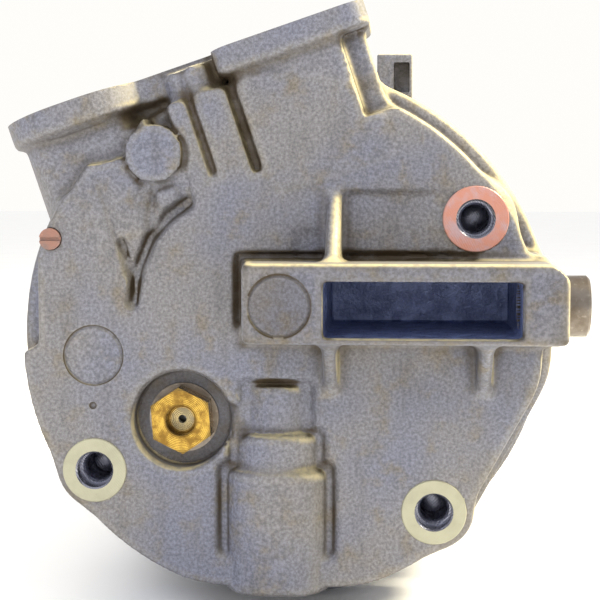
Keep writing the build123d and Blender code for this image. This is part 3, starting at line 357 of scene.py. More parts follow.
def rear_head_solid():
    """Signed distances of the rear head as it is cast, before machining."""
    g = Grid((-71.5, -27.0, -69.5), (69.5, 34.0, 81.5), GRID_PITCH)
    x, y, z = g.x, g.y, g.z
    depth = back_relief(x, z)
    rim = np.hypot(x, z) - RIM
    rim = smooth_max(rim, -z - RIM_BOTTOM, 2.5)
    across_flat = x * math.cos(FLAT_ANGLE) + z * math.sin(FLAT_ANGLE)
    rim = smooth_max(rim, across_flat - FLAT_RIM, 1.5)
    side_flat = smooth_max(x + RIM - 3.8, np.maximum(-2.6 - z + (x + 62) * 0.5, z - 40), 1.0)
    rim = smooth_max(rim, -side_flat, 1.0)
    g.add(smooth_max(rim, np.maximum(depth - y, y - FLANGE_START - 1.0), 1.5), 0.1)
    flange = g.disc(0, 0, BODY, FLANGE_START, HEAD_END + 3.0, 2.4)
    flange = smooth_max(flange, across_flat - FLAT_FLANGE, 1.5)
    g.add(flange, 2.0)
    # port pad: lip, necks and the bolt boss between the necks
    u = x * PAD_ALONG[0] + z * PAD_ALONG[2]
    n = x * PAD_NORMAL[0] + z * PAD_NORMAL[2]
    neck = smooth_max(pad_outline(u, y, 2.4), np.maximum(36.0 - n, n - PAD_FACE + 3.0), 1.0)
    g.add(neck, 2.5)
    column = smooth_max(np.hypot(u + 0.4, y - 8.1) - 7.0, np.maximum(36.0 - n, n - PAD_FACE + 1.4), 1.0)
    g.add(column, 1.5)
    web = np.maximum(0.3 - y, np.maximum(34.0 - n, n - PAD_FACE + 4.0))
    web = smooth_max(np.abs(u - 26.0) - 15.5, web, 3.0)
    g.add(smooth_max(web, y - 18.0, 1.0), 2.0)
    slit = smooth_max(np.abs(u - 8.1) - 0.9, np.maximum(40.5 - n, y - 2.5), 1.2)
    g.cut(slit, 1.6)
    hollow = np.maximum(52.0 - n, np.maximum(n - PAD_FACE + 1.8, y - 6.5))
    hollow = smooth_max(np.abs(u + 10.6) - 2.4, hollow, 1.6)
    g.cut(hollow, 1.6)
    crease = smooth_max(np.abs(u + 2.2) - 0.4, np.maximum(43.0 - n, y - 1.9), 1.0)
    g.cut(crease, 2.2)
    lip = smooth_max(pad_outline(u, y, 0.0), np.maximum(PAD_FACE - PAD_LIP - n, n - PAD_FACE - 3.0), 1.8)
    g.add(lip, 1.6)
    side = smooth_max(np.maximum(36.4 - u, 44.5 - n), np.maximum(n - PAD_FACE + 6.2, y - 4.2), 2.0)
    g.cut(side, 1.2)
    # the neck of the suction port stands back behind the edge of the back face
    shoulder = inside_polygon([(-64.5, 45.2), (-33.0, 55.9), (-34.5, 50.5), (-37.4, 44.4), (-42.0, 42.9),
                               (-46.5, 42.3), (-50.5, 36.0), (-62.0, 30.0)], x, z)
    g.cut(smooth_max(shoulder, y - 3.2, 1.5), 1.2)
    # cast disc and hole bosses
    disc_x, disc_z = CAST_DISC
    g.cut(g.disc(disc_x + 0.5, disc_z - 0.5, 7.6, -4.0, 0.7, 0.8), 0.8)
    g.add(g.disc(disc_x, disc_z, CAST_DISC_RADIUS, -1.0, 12.0, 0.8), 0.3)
    for hx, _, hz in HOLES:
        g.add(smooth_max(g.disc(hx, hz, 9.8, 1.4, FLANGE_START, 2.0), np.hypot(x, z) - BODY, 1.0), 2.5)
    # valve boss
    vx, vy = VALVE[0], 8.0
    boss = g.upright(vx, vy, 8.4, -24.0, -10.8, 1.0)
    boss = smooth_min(boss, g.upright(vx, vy, 11.2, -32.5, -22.5, 1.6), 1.2)
    boss = smooth_min(boss, g.upright(vx, vy, 13.4, -RIM + 1.2, -31.0, 2.0), 1.2)
    boss = smooth_max(boss, np.maximum(-4.6 - y, y - FLANGE_START), 3.0)
    g.add(smooth_max(boss, np.hypot(x, z) - RIM - 0.6, 1.5), 0.7)
    # mounting ear with drafted sides and ribs
    grow = (y - EAR_FRONT) * EAR_DRAFT
    across = np.maximum(EAR_LEFT - grow - x, x - EAR_RIGHT - grow)
    tall = np.maximum(EAR_BOTTOM - grow - z, z - EAR_TOP + grow * 0.25)
    bar = smooth_max(smooth_max(across, tall, 1.8), np.maximum(EAR_FRONT - y, y - 2.0), 1.8)
    corner = smooth_max(bar, (x - EAR_RIGHT) + (z - EAR_TOP) + 3.2, 1.0)
    g.add(corner, 1.5)
    backing = smooth_max(np.maximum(47.0 - x, np.maximum(-z, z - 21.0)), np.maximum(-y, y - 22.0), 1.0)
    g.add(smooth_max(backing, np.hypot(x, z) - BODY + 0.6, 1.0), 2.0)
    for rx, far, near in ((13.0, EAR_TOP + UPPER_RIB, EAR_TOP), (12.2, EAR_BOTTOM - LOWER_RIB, EAR_BOTTOM),
                          (48.6, EAR_BOTTOM - LOWER_RIB, EAR_BOTTOM)):
        slope = RIB_RISE / abs(far - near)
        sheet = (-y - (abs(far) - np.abs(z)) * slope) if far > 0 else (-y - (z - far) * slope)
        rib = smooth_max(np.abs(x - rx) - 1.7, sheet / math.hypot(1, slope), 1.8)
        span = np.maximum(min(far, near) - z, z - max(far, near))
        g.add(smooth_max(rib, np.maximum(span, y - 3.0), 0.5), 2.2)
    # relief valve pocket and its neck towards the boss
    pocket = g.disc(RELIEF[0], RELIEF[2], RELIEF_POCKET, -9.0, 6.0, 1.2)
    g.cut(pocket, 1.8)
    neck = g.brick(RELIEF[0], vx - 8.0, -9.0, 2.4, RELIEF[2] - 4.2, RELIEF[2] + 3.4, 2.0)
    g.cut(neck, 2.0)
    # window of the ear, with a little draft
    inward = (y - EAR_FRONT) * 0.012
    window = smooth_max(np.maximum(WINDOW_X[0] + inward - x, x - WINDOW_X[1] + inward),
                        np.maximum(WINDOW_Z[0] + inward - z, z - WINDOW_Z[1] + inward), 0.8)
    g.cut(smooth_max(window, np.maximum(-40 - y, y - 13.0), 0.8), 0.5)
    return g


def threaded_bore(name, radius, depth, pitch, origin, direction):
    """Cutter for a tapped hole: a bore whose wall carries the thread's rings."""
    chamfer, thread_depth = 0.55, 0.32
    profile = [(0.0, -3.0), (radius + chamfer, -3.0), (radius + chamfer, 0.0)]
    along = chamfer
    while along < depth - 1.0:
        profile.append((radius, along))
        profile.append((radius + thread_depth, along + pitch / 2))
        along += pitch
    profile += [(radius, along), (radius, depth), (0.0, depth + radius * 0.6)]
    return lathe_along(name, profile, origin, direction, 64)


def on_pad(mount):
    """Place of a mount, moved along the pad's normal into its face."""
    place = mount_mm(mount)
    return place + PAD_NORMAL * (PAD_FACE - place @ PAD_NORMAL)


def rear_head():
    """The rear head's cast solid with its machined faces and bores cut in."""
    g = rear_head_solid()
    head = g.mesh("rear_head_casting")
    pads, tools = [], []
    top, chamfer = -SPOT_HEIGHT, 0.2
    spot_face = [(0, top), (SPOT_RADIUS - chamfer, top), (SPOT_RADIUS, top + chamfer),
                 (SPOT_RADIUS, 4.0), (0, 4.0)]
    wide = COUNTERBORE + 0.4
    bore = [(0, -4), (wide, -4), (wide, top), (COUNTERBORE, top + 0.4), (COUNTERBORE, 4.5), (0, 4.5)]
    for i, (hx, _, hz) in enumerate(HOLES):
        pads.append(lathe(f"pad{i}", spot_face, (hx, 0, hz)))
        tools.append(lathe(f"relief{i}", bore, (hx, 0, hz)))
        start = (hx, COUNTERBORE_DEPTH, hz)
        tools.append(threaded_bore(f"thread{i}", M8_DRILL, 12.0, M8_PITCH, start, (0, 1, 0)))
    cut_out(head, pads, "UNION")
    plug_x, plug_z = PLUG[0], PLUG[2]
    tools.append(lathe("plug_hole", [(0, -4), (2.75, -4), (2.75, 9), (0, 9)], (plug_x, 0, plug_z)))
    for name, place, radius in (("ear_mark", (1.7, EAR_FRONT, 10.6), 7.3),
                                ("face_mark", (-45.2, 0.0, -3.5), 7.4)):
        ring = [(0, -2), (radius, -2), (radius, 0.1), (radius - 0.5, 0.45), (radius - 1.0, 0.1),
                (radius - 1.6, 0.22), (0, 0.22)]
        tools.append(lathe(name, ring, place))
    tools.append(lathe("dot", [(0, -2), (0.9, -2), (0.9, 0.3), (0, 0.5)], (-45.4, 0.0, -15.7)))
    relief = (RELIEF[0], 0, RELIEF[2])
    tools.append(lathe("shank_hole", [(0, 5), (5.6, 5), (5.6, 18), (0, 18)], relief))
    tools.append(lathe("pocket_floor", [(0, -4), (11.0, -4), (11.0, 6.0), (0, 6.0)], relief))
    ay, az = EAR_AXIS[1], EAR_AXIS[2]
    bush_left = box_mm("ear_bushing")[0][0]
    seat = [(0, bush_left), (BUSH_SEAT, bush_left), (BUSH_SEAT, 76), (0, 76)]
    tools.append(lathe("ear_seat", seat, (0, ay, az), "X"))
    tools.append(lathe("ear_bore", [(0, 54), (5.2, 54), (5.2, 60), (0, 60)], (0, ay, az), "X"))
    start = (WINDOW_X[0], ay, az)
    tools.append(threaded_bore("ear_thread", M10_DRILL, 14.0, M10_PITCH, start, (-1, 0, 0)))
    for name, radius, depth in (("suction_port", 8.5, 30.6), ("discharge_port", 7.0, 49.6)):
        mouth = on_pad(name)
        profile = [(0, -3), (radius + 2.0, -3), (radius + 2.0, 0), (radius + 1.7, 2.6), (radius, 3.4),
                   (radius, depth), (0, depth)]
        tools.append(lathe_along(name, profile, mouth, -PAD_NORMAL))
    tools.append(lathe_along("pad_plane", [(0, 0), (70, 0), (70, 12), (0, 12)],
                             PAD_NORMAL * PAD_FACE + (0, 14.0, 0), PAD_NORMAL))
    tools.append(lathe("joint_plane", [(0, HEAD_END), (90, HEAD_END), (90, 50), (0, 50)], (0, 0, 0)))
    start = on_pad("port_bolt_hole")
    tools.append(threaded_bore("port_bolt", M8_DRILL, 18.0, M8_PITCH, start, -PAD_NORMAL))
    valve_end = box_mm("control_valve_body")[0][2]
    tools.append(lathe("valve_bore", [(0, -70), (9.9, -70), (9.9, valve_end), (9.05, valve_end),
                                      (9.05, -33.0), (5.05, -33.0), (5.05, -14.0), (0, -14.0)],
                       (VALVE[0], VALVE[1], 0), "Z"))
    cut_out(head, tools)
    cavity_and_edge(head, g)
    smooth_shade(head)
    return head


def cavity_and_edge(piece, g):
    """Point values that the materials read: how enclosed a point is, and how sharply it stands out."""
    mesh = piece.data
    count = len(mesh.vertices)
    points = np.empty(count * 3)
    normals = np.empty(count * 3)
    mesh.vertices.foreach_get("co", points)
    mesh.vertices.foreach_get("normal", normals)
    points = points.reshape(-1, 3) / MM
    normals = normals.reshape(-1, 3)
    # hollow is a rough occlusion estimate from the distance field; the cast material paints shade from it
    hollow = np.zeros(count)
    for reach in (1.2, 2.5, 5.0):
        hollow += np.clip(1 - g.at(points + normals * reach) / reach, 0, 1) / 3
    inner = g.at(points - normals * 1.6) / 1.6
    edge = np.clip(1 + inner, 0, 1)
    for name, value in (("hollow", hollow), ("edge", edge)):
        layer = mesh.attributes.new(name, "FLOAT", "POINT")
        layer.data.foreach_set("value", value.astype(np.float32))


# ---------------------------------------------------------------- softened copies of castings
def softened(node, name, voxel):
    """Copy of a CAD casting with its corners rounded off."""
    source = frame["nodes"][node]
    piece = bpy.data.objects.new(name, source.data.copy())
    bpy.context.scene.collection.objects.link(piece)
    piece.data.materials.clear()
    remesh = piece.modifiers.new("remesh", "REMESH")
    remesh.mode = "VOXEL"
    remesh.voxel_size = voxel * MM
    smooth = piece.modifiers.new("smooth", "CORRECTIVE_SMOOTH")
    smooth.iterations = 4
    smooth.use_only_smooth = True
    smooth.rest_source = "ORCO"
    apply_modifiers(piece)
    smooth_shade(piece, 60.0)
    return piece


def block(name, low, high):
    """Box from two opposite corners in mm, as a closed mesh."""
    points = [(x, y, z) for x in (low[0], high[0]) for y in (low[1], high[1]) for z in (low[2], high[2])]
    faces = [(0, 1, 3, 2), (4, 6, 7, 5), (0, 4, 5, 1), (2, 3, 7, 6), (0, 2, 6, 4), (1, 5, 7, 3)]
    piece = new_piece(name, points, faces)
    bevel = piece.modifiers.new("round", "BEVEL")
    bevel.width = 0.5 * MM
    bevel.segments = 3
    apply_modifiers(piece)
    return piece


def piston_room(k):
    """Space that piston k sweeps into at the plate's greatest tilt."""
    low, high = box_mm(f"piston_{k}")
    x, z = (low[0] + high[0]) / 2, (low[2] + high[2]) / 2
    clearance, spare = 0.35, 1.0
    radius = (high[0] - low[0]) / 2 + clearance
    reach = high[1] + math.hypot(x, z) * math.tan(PLATE_TILT) + spare
    start = LUG_BACK - spare
    return lathe(f"room_{k}", [(0, start), (radius, start), (radius, reach), (0, reach)], (x, 0, z))


def lug_lift(front):
    """The lifting lug on the front head, with the cast pocket in its rear face."""
    top = box_mm("front_head")[1][2]
    back = LUG_BACK
    cut_out(front, [block("lug_body", (21.9, back, 58.0), (32.1, back + 9.0, top - 0.1))], "UNION")
    cut_out(front, [block("lug_pocket", (26.7, back - 2.0, 64.4), (31.3, back + 6.5, top - 2.4))])


# ---------------------------------------------------------------- materials
class Shader:
    """Short names for building one node material."""

    def __init__(self, name):
        self.material = bpy.data.materials.new(name)
        self.material.use_nodes = True
        self.tree = self.material.node_tree
        self.surface = self.tree.nodes["Principled BSDF"]
        coords = self.tree.nodes.new("ShaderNodeTexCoord")
        self.place = coords.outputs["Object"]

    def node(self, kind, **settings):
        made = self.tree.nodes.new(kind)
        for key, value in settings.items():
            setattr(made, key, value)
        return made

    def feed(self, socket, value):
        if hasattr(value, "is_output"):
            self.tree.links.new(value, socket)
        elif isinstance(value, (tuple, list)) and len(value) == 3 and len(socket.default_value) == 4:
            socket.default_value = (*value, 1.0)
        else:
            socket.default_value = value

    def noise(self, size_mm, detail=3.0, rough=0.5, stretch=None):
        made = self.node("ShaderNodeTexNoise")
        source = self.vector("MULTIPLY", self.place, stretch) if stretch else self.place
        self.feed(made.inputs["Vector"], source)
        made.inputs["Scale"].default_value = 1 / (size_mm * MM)
        made.inputs["Detail"].default_value = detail
        made.inputs["Roughness"].default_value = rough
        return made.outputs["Fac"]

    def cells(self, size_mm):
        made = self.node("ShaderNodeTexVoronoi")
        self.feed(made.inputs["Vector"], self.place)
        made.inputs["Scale"].default_value = 1 / (size_mm * MM)
        return made.outputs["Distance"]

    def attribute(self, name):
        return self.node("ShaderNodeAttribute", attribute_name=name).outputs["Fac"]

    def pointiness(self):
        return self.node("ShaderNodeNewGeometry").outputs["Pointiness"]

    def vector(self, operation, a, b=None):
        made = self.node("ShaderNodeVectorMath", operation=operation)
        self.feed(made.inputs[0], a)
        if b is not None:
            self.feed(made.inputs[1], b)
        return made.outputs["Value" if operation in ("LENGTH", "DOT_PRODUCT") else "Vector"]

    def from_axis(self, centre_mm=(0.0, 0.0, 0.0)):
        """Distance in m from a line along Y through a point in mm."""
        away = self.vector("SUBTRACT", self.place, tuple(c * MM for c in centre_mm))
        return self.vector("LENGTH", self.vector("MULTIPLY", away, (1.0, 0.0, 1.0)))

    def rings(self, radius, spacing_mm):
        """Waves from -1 to 1 along a radius in m."""
        return self.math("SINE", self.math("MULTIPLY", radius, 2 * math.pi / (spacing_mm * MM)))

    def math(self, operation, a, b=0.0):
        made = self.node("ShaderNodeMath", operation=operation)
        self.feed(made.inputs[0], a)
        self.feed(made.inputs[1], b)
        return made.outputs[0]

    def ramp(self, value, low, high, out_low=0.0, out_high=1.0):
        made = self.node("ShaderNodeMapRange", interpolation_type="SMOOTHSTEP")
        for key, setting in (("Value", value), ("From Min", low), ("From Max", high),
                             ("To Min", out_low), ("To Max", out_high)):
            self.feed(made.inputs[key], setting)
        return made.outputs["Result"]

    def mix(self, share, a, b, blend="MIX"):
        made = self.node("ShaderNodeMix", data_type="RGBA", blend_type=blend)
        self.feed(made.inputs["Factor"], share)
        self.feed(made.inputs["A"], a)
        self.feed(made.inputs["B"], b)
        return made.outputs["Result"]

    def bump(self, height, distance_mm, strength):
        made = self.node("ShaderNodeBump")
        made.inputs["Strength"].default_value = strength
        made.inputs["Distance"].default_value = distance_mm * MM
        self.feed(made.inputs["Height"], height)
        return made.outputs["Normal"]

    def along_y(self):
        made = self.node("ShaderNodeSeparateXYZ")
        self.feed(made.inputs[0], self.place)
        return made.outputs["Y"]

    def done(self, colour, roughness, normal=None, metallic=0.0, specular=0.5):
        self.feed(self.surface.inputs["Base Color"], colour)
        self.feed(self.surface.inputs["Roughness"], roughness)
        self.feed(self.surface.inputs["Metallic"], metallic)
        self.feed(self.surface.inputs["Specular IOR Level"], specular)
        if normal is not None:
            self.feed(self.surface.inputs["Normal"], normal)
        return self.material


CAST_GREY = (0.212, 0.206, 0.222)
CAST_BLUE = (0.178, 0.186, 0.242)
CAST_BROWN = (0.190, 0.160, 0.118)
# cream for worn edges and for painted light on faces and edges turned towards LIT_SIDE
CREAM_WEAR_AND_LIGHT = (0.66, 0.58, 0.36)
# brown painted shade for hollows and corners
PAINTED_SHADE_BROWN = (0.045, 0.030, 0.014)
# direction the painted light comes from: up and to the right
LIT_SIDE = (0.60, 0.16, 0.78)


def cast_aluminium(name, edge=None, hollow=None):
    """Sand-textured die casting with pale edges, partly wear and partly painted highlight, painted light on
    faces turned up and right, and brown painted shade in its corners.

    Edges and corners come from the named point values, or from the mesh's own pointiness without them.
    """
    s = Shader(name)
    broad = s.noise(34.0, 2.0)
    cloud = s.noise(7.0, 4.0, 0.6)
    sand = s.noise(0.75, 3.0, 0.65)
    grain = s.noise(0.32, 2.0, 0.6)
    colour = s.mix(s.ramp(broad, 0.40, 0.62), CAST_GREY, CAST_BLUE)
    colour = s.mix(s.ramp(cloud, 0.50, 0.75, 0.0, 0.75), colour, CAST_BROWN)
    streak = s.noise(5.5, 3.0, 0.6, stretch=(1.0, 1.0, 0.3))
    colour = s.mix(s.ramp(streak, 0.50, 0.78, 0.0, 0.55), colour, tuple(c * 0.62 for c in CAST_GREY))
    dapple = s.ramp(sand, 0.30, 0.72, 0.66, 1.32)
    shade = s.node("ShaderNodeCombineColor")
    for key in ("Red", "Green", "Blue"):
        s.feed(shade.inputs[key], dapple)
    colour = s.mix(1.0, colour, shade.outputs[0], "MULTIPLY")
    if edge is None:
        edge = s.ramp(s.pointiness(), 0.515, 0.56)
        hollow = s.ramp(s.pointiness(), 0.485, 0.44)
    else:
        edge = s.ramp(s.attribute(edge), 0.05, 0.26)
        hollow = s.ramp(s.attribute(hollow), 0.14, 0.55)
    # painted light: faces turned up and to the right, towards LIT_SIDE, are tinted cream
    facing = s.vector("DOT_PRODUCT", s.node("ShaderNodeTexCoord").outputs["Normal"], LIT_SIDE)
    lit = s.ramp(facing, 0.05, 0.75)
    # pale edges are kept mostly on the lit side, so they are partly wear and partly painted highlight
    edge = s.math("MULTIPLY", edge, s.ramp(lit, 0.0, 1.0, 0.07, 1.0))
    edge_wear_and_highlight = s.math("MULTIPLY", edge, s.ramp(s.noise(1.6, 3.0), 0.30, 0.60, 0.45, 1.0))
    colour = s.mix(s.math("MULTIPLY", lit, 0.22), colour, CREAM_WEAR_AND_LIGHT)
    colour = s.mix(edge_wear_and_highlight, colour, CREAM_WEAR_AND_LIGHT)
    # painted shade: brown darkening in hollows and corners, patchy with the cloud noise
    colour = s.mix(s.math("MULTIPLY", hollow, s.ramp(cloud, 0.25, 0.6, 0.65, 0.95)), colour, PAINTED_SHADE_BROWN)
    pits = s.ramp(s.cells(2.6), 0.10, 0.20)
    height = s.math("ADD", s.math("MULTIPLY", sand, 0.7), s.math("MULTIPLY", grain, 0.35))
    height = s.math("ADD", height, s.math("MULTIPLY", pits, 0.25))
    normal = s.bump(height, 0.16, 0.85)
    roughness = s.ramp(sand, 0.3, 0.7, 0.50, 0.66)
    return s.done(colour, roughness, normal, 0.30, 0.35)


def turned_metal(name, colour, tint, roughness, metallic, stain=0.4):
    """Turned metal: fine rings about the head's axis, with stains and small scratches."""
    s = Shader(name)
    rings = s.rings(s.from_axis(), 0.5)
    cloud = s.noise(5.0, 4.0, 0.6)
    fine = s.noise(0.4, 3.0)
    shade = s.mix(s.ramp(cloud, 0.42, 0.70, 0.0, stain), colour, tint)
    shade = s.mix(s.ramp(fine, 0.55, 0.85, 0.0, 0.35), shade, tint)
    height = s.math("ADD", s.math("MULTIPLY", rings, 0.5), s.math("MULTIPLY", fine, 0.8))
    rough = s.ramp(cloud, 0.3, 0.7, roughness * 0.8, roughness * 1.25)
    return s.done(shade, rough, s.bump(height, 0.03, 0.7), metallic)


def plain_metal(name, colour, tint, roughness, metallic=1.0):
    """Steel, bronze or coated metal with mottling, fine dark grain and brighter streaks."""
    s = Shader(name)
    cloud = s.noise(6.0, 4.0, 0.6)
    fine = s.noise(0.36, 3.0, 0.6)
    shade = s.mix(s.ramp(cloud, 0.40, 0.70), colour, tint)
    dark = tuple(c * 0.55 for c in tint)
    shade = s.mix(s.ramp(fine, 0.58, 0.80, 0.0, 0.4), shade, dark)
    bright = tuple(min(1.0, c * 1.4 + 0.05) for c in colour)
    streak = s.noise(0.96, 2.0, stretch=(1.0, 0.25, 1.0))
    shade = s.mix(s.ramp(streak, 0.58, 0.75, 0.0, 0.5), shade, bright)
    rough = s.ramp(cloud, 0.3, 0.7, roughness * 0.8, roughness * 1.25)
    return s.done(shade, rough, s.bump(fine, 0.03, 0.8), metallic)


def moulded(name, colour, tint, roughness):
    """Moulded plastic or rubber with a fine spark-eroded grain."""
    s = Shader(name)
    grain = s.noise(0.35, 2.0, 0.6)
    cloud = s.noise(6.0, 4.0)
    shade = s.mix(s.ramp(cloud, 0.35, 0.7), colour, tint)
    dust = tuple(c + 0.10 for c in tint)
    shade = s.mix(s.ramp(grain, 0.60, 0.85, 0.0, 0.25), shade, dust)
    rough = s.ramp(cloud, 0.3, 0.7, roughness * 0.85, roughness * 1.15)
    return s.done(shade, rough, s.bump(grain, 0.02, 0.8))


def set_material(piece, material):
    piece.data.materials.clear()
    piece.data.materials.append(material)


def paint(node, material):
    """Gives a shown CAD node its material through its own slots."""
    piece = frame["nodes"][node]
    if not piece.data.materials:
        piece.data.materials.append(material)
    for slot in piece.material_slots:
        slot.material = material


# ---------------------------------------------------------------- making it all
mats = {}


def make_materials():
    mats["cast_rear"] = cast_aluminium("cast_aluminium_rear", "edge", "hollow")
    mats["cast"] = cast_aluminium("cast_aluminium")
    mats["window"] = window_painted_shade()
    mats["spot_pale"] = turned_metal("spot_pale", (0.40, 0.39, 0.29), (0.31, 0.30, 0.22), 0.42, 0.3)
    mats["bore"] = turned_metal("bore_steel", (0.30, 0.31, 0.38), (0.10, 0.10, 0.15), 0.25, 0.9)
    mats["spot_copper"] = turned_metal("spot_copper", (0.56, 0.25, 0.19), (0.48, 0.36, 0.40), 0.40, 0.3, 0.8)
    mats["machined"] = plain_metal("machined_aluminium", (0.72, 0.71, 0.70), (0.60, 0.58, 0.54), 0.34, 0.9)
    mats["brass"] = valve_brass()
    mats["bronze"] = plain_metal("bronze", (0.60, 0.40, 0.20), (0.45, 0.30, 0.15), 0.4)
    mats["copper"] = plain_metal("copper_pin", (0.34, 0.18, 0.14), (0.22, 0.17, 0.16), 0.42, 0.6)
    mats["plated"] = plain_metal("plated_steel", (0.48, 0.43, 0.33), (0.36, 0.32, 0.22), 0.35)
    mats["bushing"] = plain_metal("bushing_steel", (0.21, 0.185, 0.165), (0.14, 0.115, 0.095), 0.35)
    mats["steel"] = plain_metal("ground_steel", (0.58, 0.58, 0.60), (0.46, 0.46, 0.48), 0.28)
    mats["bearing"] = plain_metal("bearing_steel", (0.70, 0.70, 0.72), (0.60, 0.60, 0.62), 0.16)
    mats["spring"] = plain_metal("spring_steel", (0.30, 0.30, 0.32), (0.22, 0.20, 0.19), 0.35)
    mats["rubber"] = moulded("seal_rubber", (0.020, 0.020, 0.020), (0.034, 0.033, 0.032), 0.6)
    mats["gasket"] = moulded("gasket_coat", (0.075, 0.075, 0.080), (0.11, 0.10, 0.095), 0.55)
    mats["coil_case"] = plain_metal("coil_case_steel", (0.09, 0.09, 0.10), (0.13, 0.11, 0.09), 0.5, 0.7)
    mats["resin"] = moulded("coil_resin", (0.16, 0.09, 0.045), (0.11, 0.06, 0.03), 0.4)
    mats["plastic"] = moulded("black_plastic", (0.022, 0.022, 0.024), (0.035, 0.035, 0.036), 0.45)
    mats["armature"] = plain_metal("armature_steel", (0.33, 0.31, 0.29), (0.24, 0.19, 0.15), 0.42, 0.85)
    mats["hub"] = plain_metal("hub_coat", (0.065, 0.066, 0.070), (0.10, 0.095, 0.09), 0.38, 0.6)
    mats["pulley"] = pulley_coat()


def window_painted_shade():
    """Painted shade for the casting inside the ear's window: dark navy, with painted bluish highlights in
    the sand grain.
    """
    s = Shader("window_floor")
    cloud = s.noise(4.0, 4.0, 0.6)
    sand = s.noise(0.8, 3.0, 0.6)
    colour = s.mix(s.ramp(cloud, 0.35, 0.7), (0.085, 0.112, 0.250), (0.210, 0.262, 0.480))
    colour = s.mix(s.ramp(sand, 0.55, 0.8, 0.0, 0.5), colour, (0.42, 0.48, 0.70))
    return s.done(colour, s.ramp(sand, 0.3, 0.7, 0.25, 0.5), s.bump(sand, 0.25, 0.9), 0.25)


def valve_brass():
    """Turned brass with painted shade in a ring round the mouth of its bore and towards its rim, greyer
    inside the bore, with golden and brown patches.
    """
    s = Shader("brass")
    radius = s.from_axis(RELIEF)
    cloud = s.noise(2.2, 4.0, 0.6)
    fine = s.noise(0.35, 3.0)
    shade = s.mix(s.ramp(cloud, 0.35, 0.66), (0.56, 0.36, 0.075), (0.24, 0.135, 0.030))
    # painted shade: a dark ring round the mouth of the bore
    lip = s.math("MULTIPLY", s.ramp(radius, 0.0027, 0.0033), s.ramp(radius, 0.0044, 0.0036))
    shade = s.mix(s.math("MULTIPLY", lip, 0.8), shade, (0.085, 0.045, 0.012))
    bore = s.ramp(radius, 0.0031, 0.0026)
    shade = s.mix(s.math("MULTIPLY", bore, 0.7), shade, (0.30, 0.28, 0.20))
    # painted shade towards the outer rim
    shade = s.mix(s.ramp(radius, 0.0066, 0.0078), shade, (0.20, 0.13, 0.04))
    height = s.math("ADD", s.math("MULTIPLY", s.rings(radius, 0.4), 0.6), fine)
    return s.done(shade, s.ramp(cloud, 0.3, 0.7, 0.16, 0.34), s.bump(height, 0.04, 0.8), 0.95)


def pulley_coat():
    """Black coat, worn to steel on the tips of the belt grooves."""
    s = Shader("pulley_coat")
    along, radius = s.along_y(), s.from_axis()
    cloud = s.noise(6.0, 4.0, 0.6)
    fine = s.noise(0.5, 3.0)
    colour = s.mix(s.ramp(cloud, 0.35, 0.7), (0.028, 0.028, 0.031), (0.055, 0.050, 0.046))
    groove_low, groove_high = 0.1520, 0.1728
    in_grooves = s.math("MULTIPLY", s.ramp(along, groove_low - 0.001, groove_low),
                        s.ramp(along, groove_high + 0.001, groove_high))
    worn = s.math("MULTIPLY", in_grooves, s.ramp(radius, 0.0560, 0.0575))
    worn = s.math("MULTIPLY", worn, s.ramp(fine, 0.2, 0.6, 0.5, 1.0))
    colour = s.mix(worn, colour, (0.42, 0.41, 0.40))
    metallic = s.ramp(worn, 0.0, 1.0, 0.35, 1.0)
    rough = s.ramp(cloud, 0.3, 0.7, 0.30, 0.48)
    return s.done(colour, rough, s.bump(fine, 0.03, 0.8), metallic)


NODE_MATERIALS = {
    "copper": ("slotted_plug",),
    "brass": ("relief_cap", "relief_valve_body"),
    "bronze": ("guide_bush", "journal_bush", "bearing_cages"),
    "bushing": ("ear_bushing", "relief_valve_washer"),
    "plated": ("through_bolts", "drain_plug", "armature_rivets", "hub_nut"),
    "steel": ("control_valve_body", "control_valve_rod", "valve_plate", "guide_pin", "journal", "drive_lug",
              "shaft", "relief_poppet", *(f"connecting_rod_{k}" for k in range(1, 6))),
    "bearing": ("thrust_bearing", "drive_pin", "pivot_ball", "thrust_washer", "shaft_bearings",
                "bearing_inner_race", "bearing_outer_race", "bearing_balls"),
    "spring": ("relief_spring", "discharge_reed", "suction_reed", "journal_snap_ring", "snap_rings",
               "pulley_snap_ring", "leaf_springs"),
    "rubber": ("control_valve_orings", "block_oring", "shaft_seal"),
    "gasket": ("head_gasket", "cylinder_gasket"),
    "machined": ("wobble_plate", *(f"piston_{k}" for k in range(1, 6))),
    "coil_case": ("coil_case",),
    "resin": ("coil_winding",),
    "plastic": ("coil_connector",),
    "armature": ("armature_plate",),
    "hub": ("clutch_hub",),
    "pulley": ("rotor_pulley",),
}


def face_materials(piece, materials, choose):
    """Several materials on one piece; choose gives each face's number from centres and normals in mm."""
    piece.data.materials.clear()
    for material in materials:
        piece.data.materials.append(material)
    count = len(piece.data.polygons)
    centres = np.empty(count * 3)
    normals = np.empty(count * 3)
    piece.data.polygons.foreach_get("center", centres)
    piece.data.polygons.foreach_get("normal", normals)
    chosen = choose(centres.reshape(-1, 3) / MM, normals.reshape(-1, 3))
    piece.data.polygons.foreach_set("material_index", chosen.astype(np.int32))


def rear_head_faces(c, n):
    """Material numbers of the rear head: cast, window, pale and copper spot faces, bores, port face."""
    chosen = np.zeros(len(c), int)
    # faces inside the ear's window get the painted-shade material
    window = (c[:, 0] > 10.6) & (c[:, 0] < 56.4) & (c[:, 2] > 2.9) & (c[:, 2] < 16.6)
    chosen[window & (c[:, 1] > -22.5) & (c[:, 1] < 14)] = 1
    for i, (hx, _, hz) in enumerate(HOLES):
        radius = np.hypot(c[:, 0] - hx, c[:, 2] - hz)
        face = (radius < SPOT_RADIUS + 0.05) & (c[:, 1] < 0.2) & (n[:, 1] < -0.3)
        chosen[face] = 3 if i == 0 else 2
        chosen[(radius < 4.7) & (c[:, 1] > -0.45) & (c[:, 1] < 18)] = 4
    along = c @ PAD_NORMAL
    chosen[(along > PAD_FACE - 0.05) & (n @ PAD_NORMAL > 0.9)] = 5
    return chosen


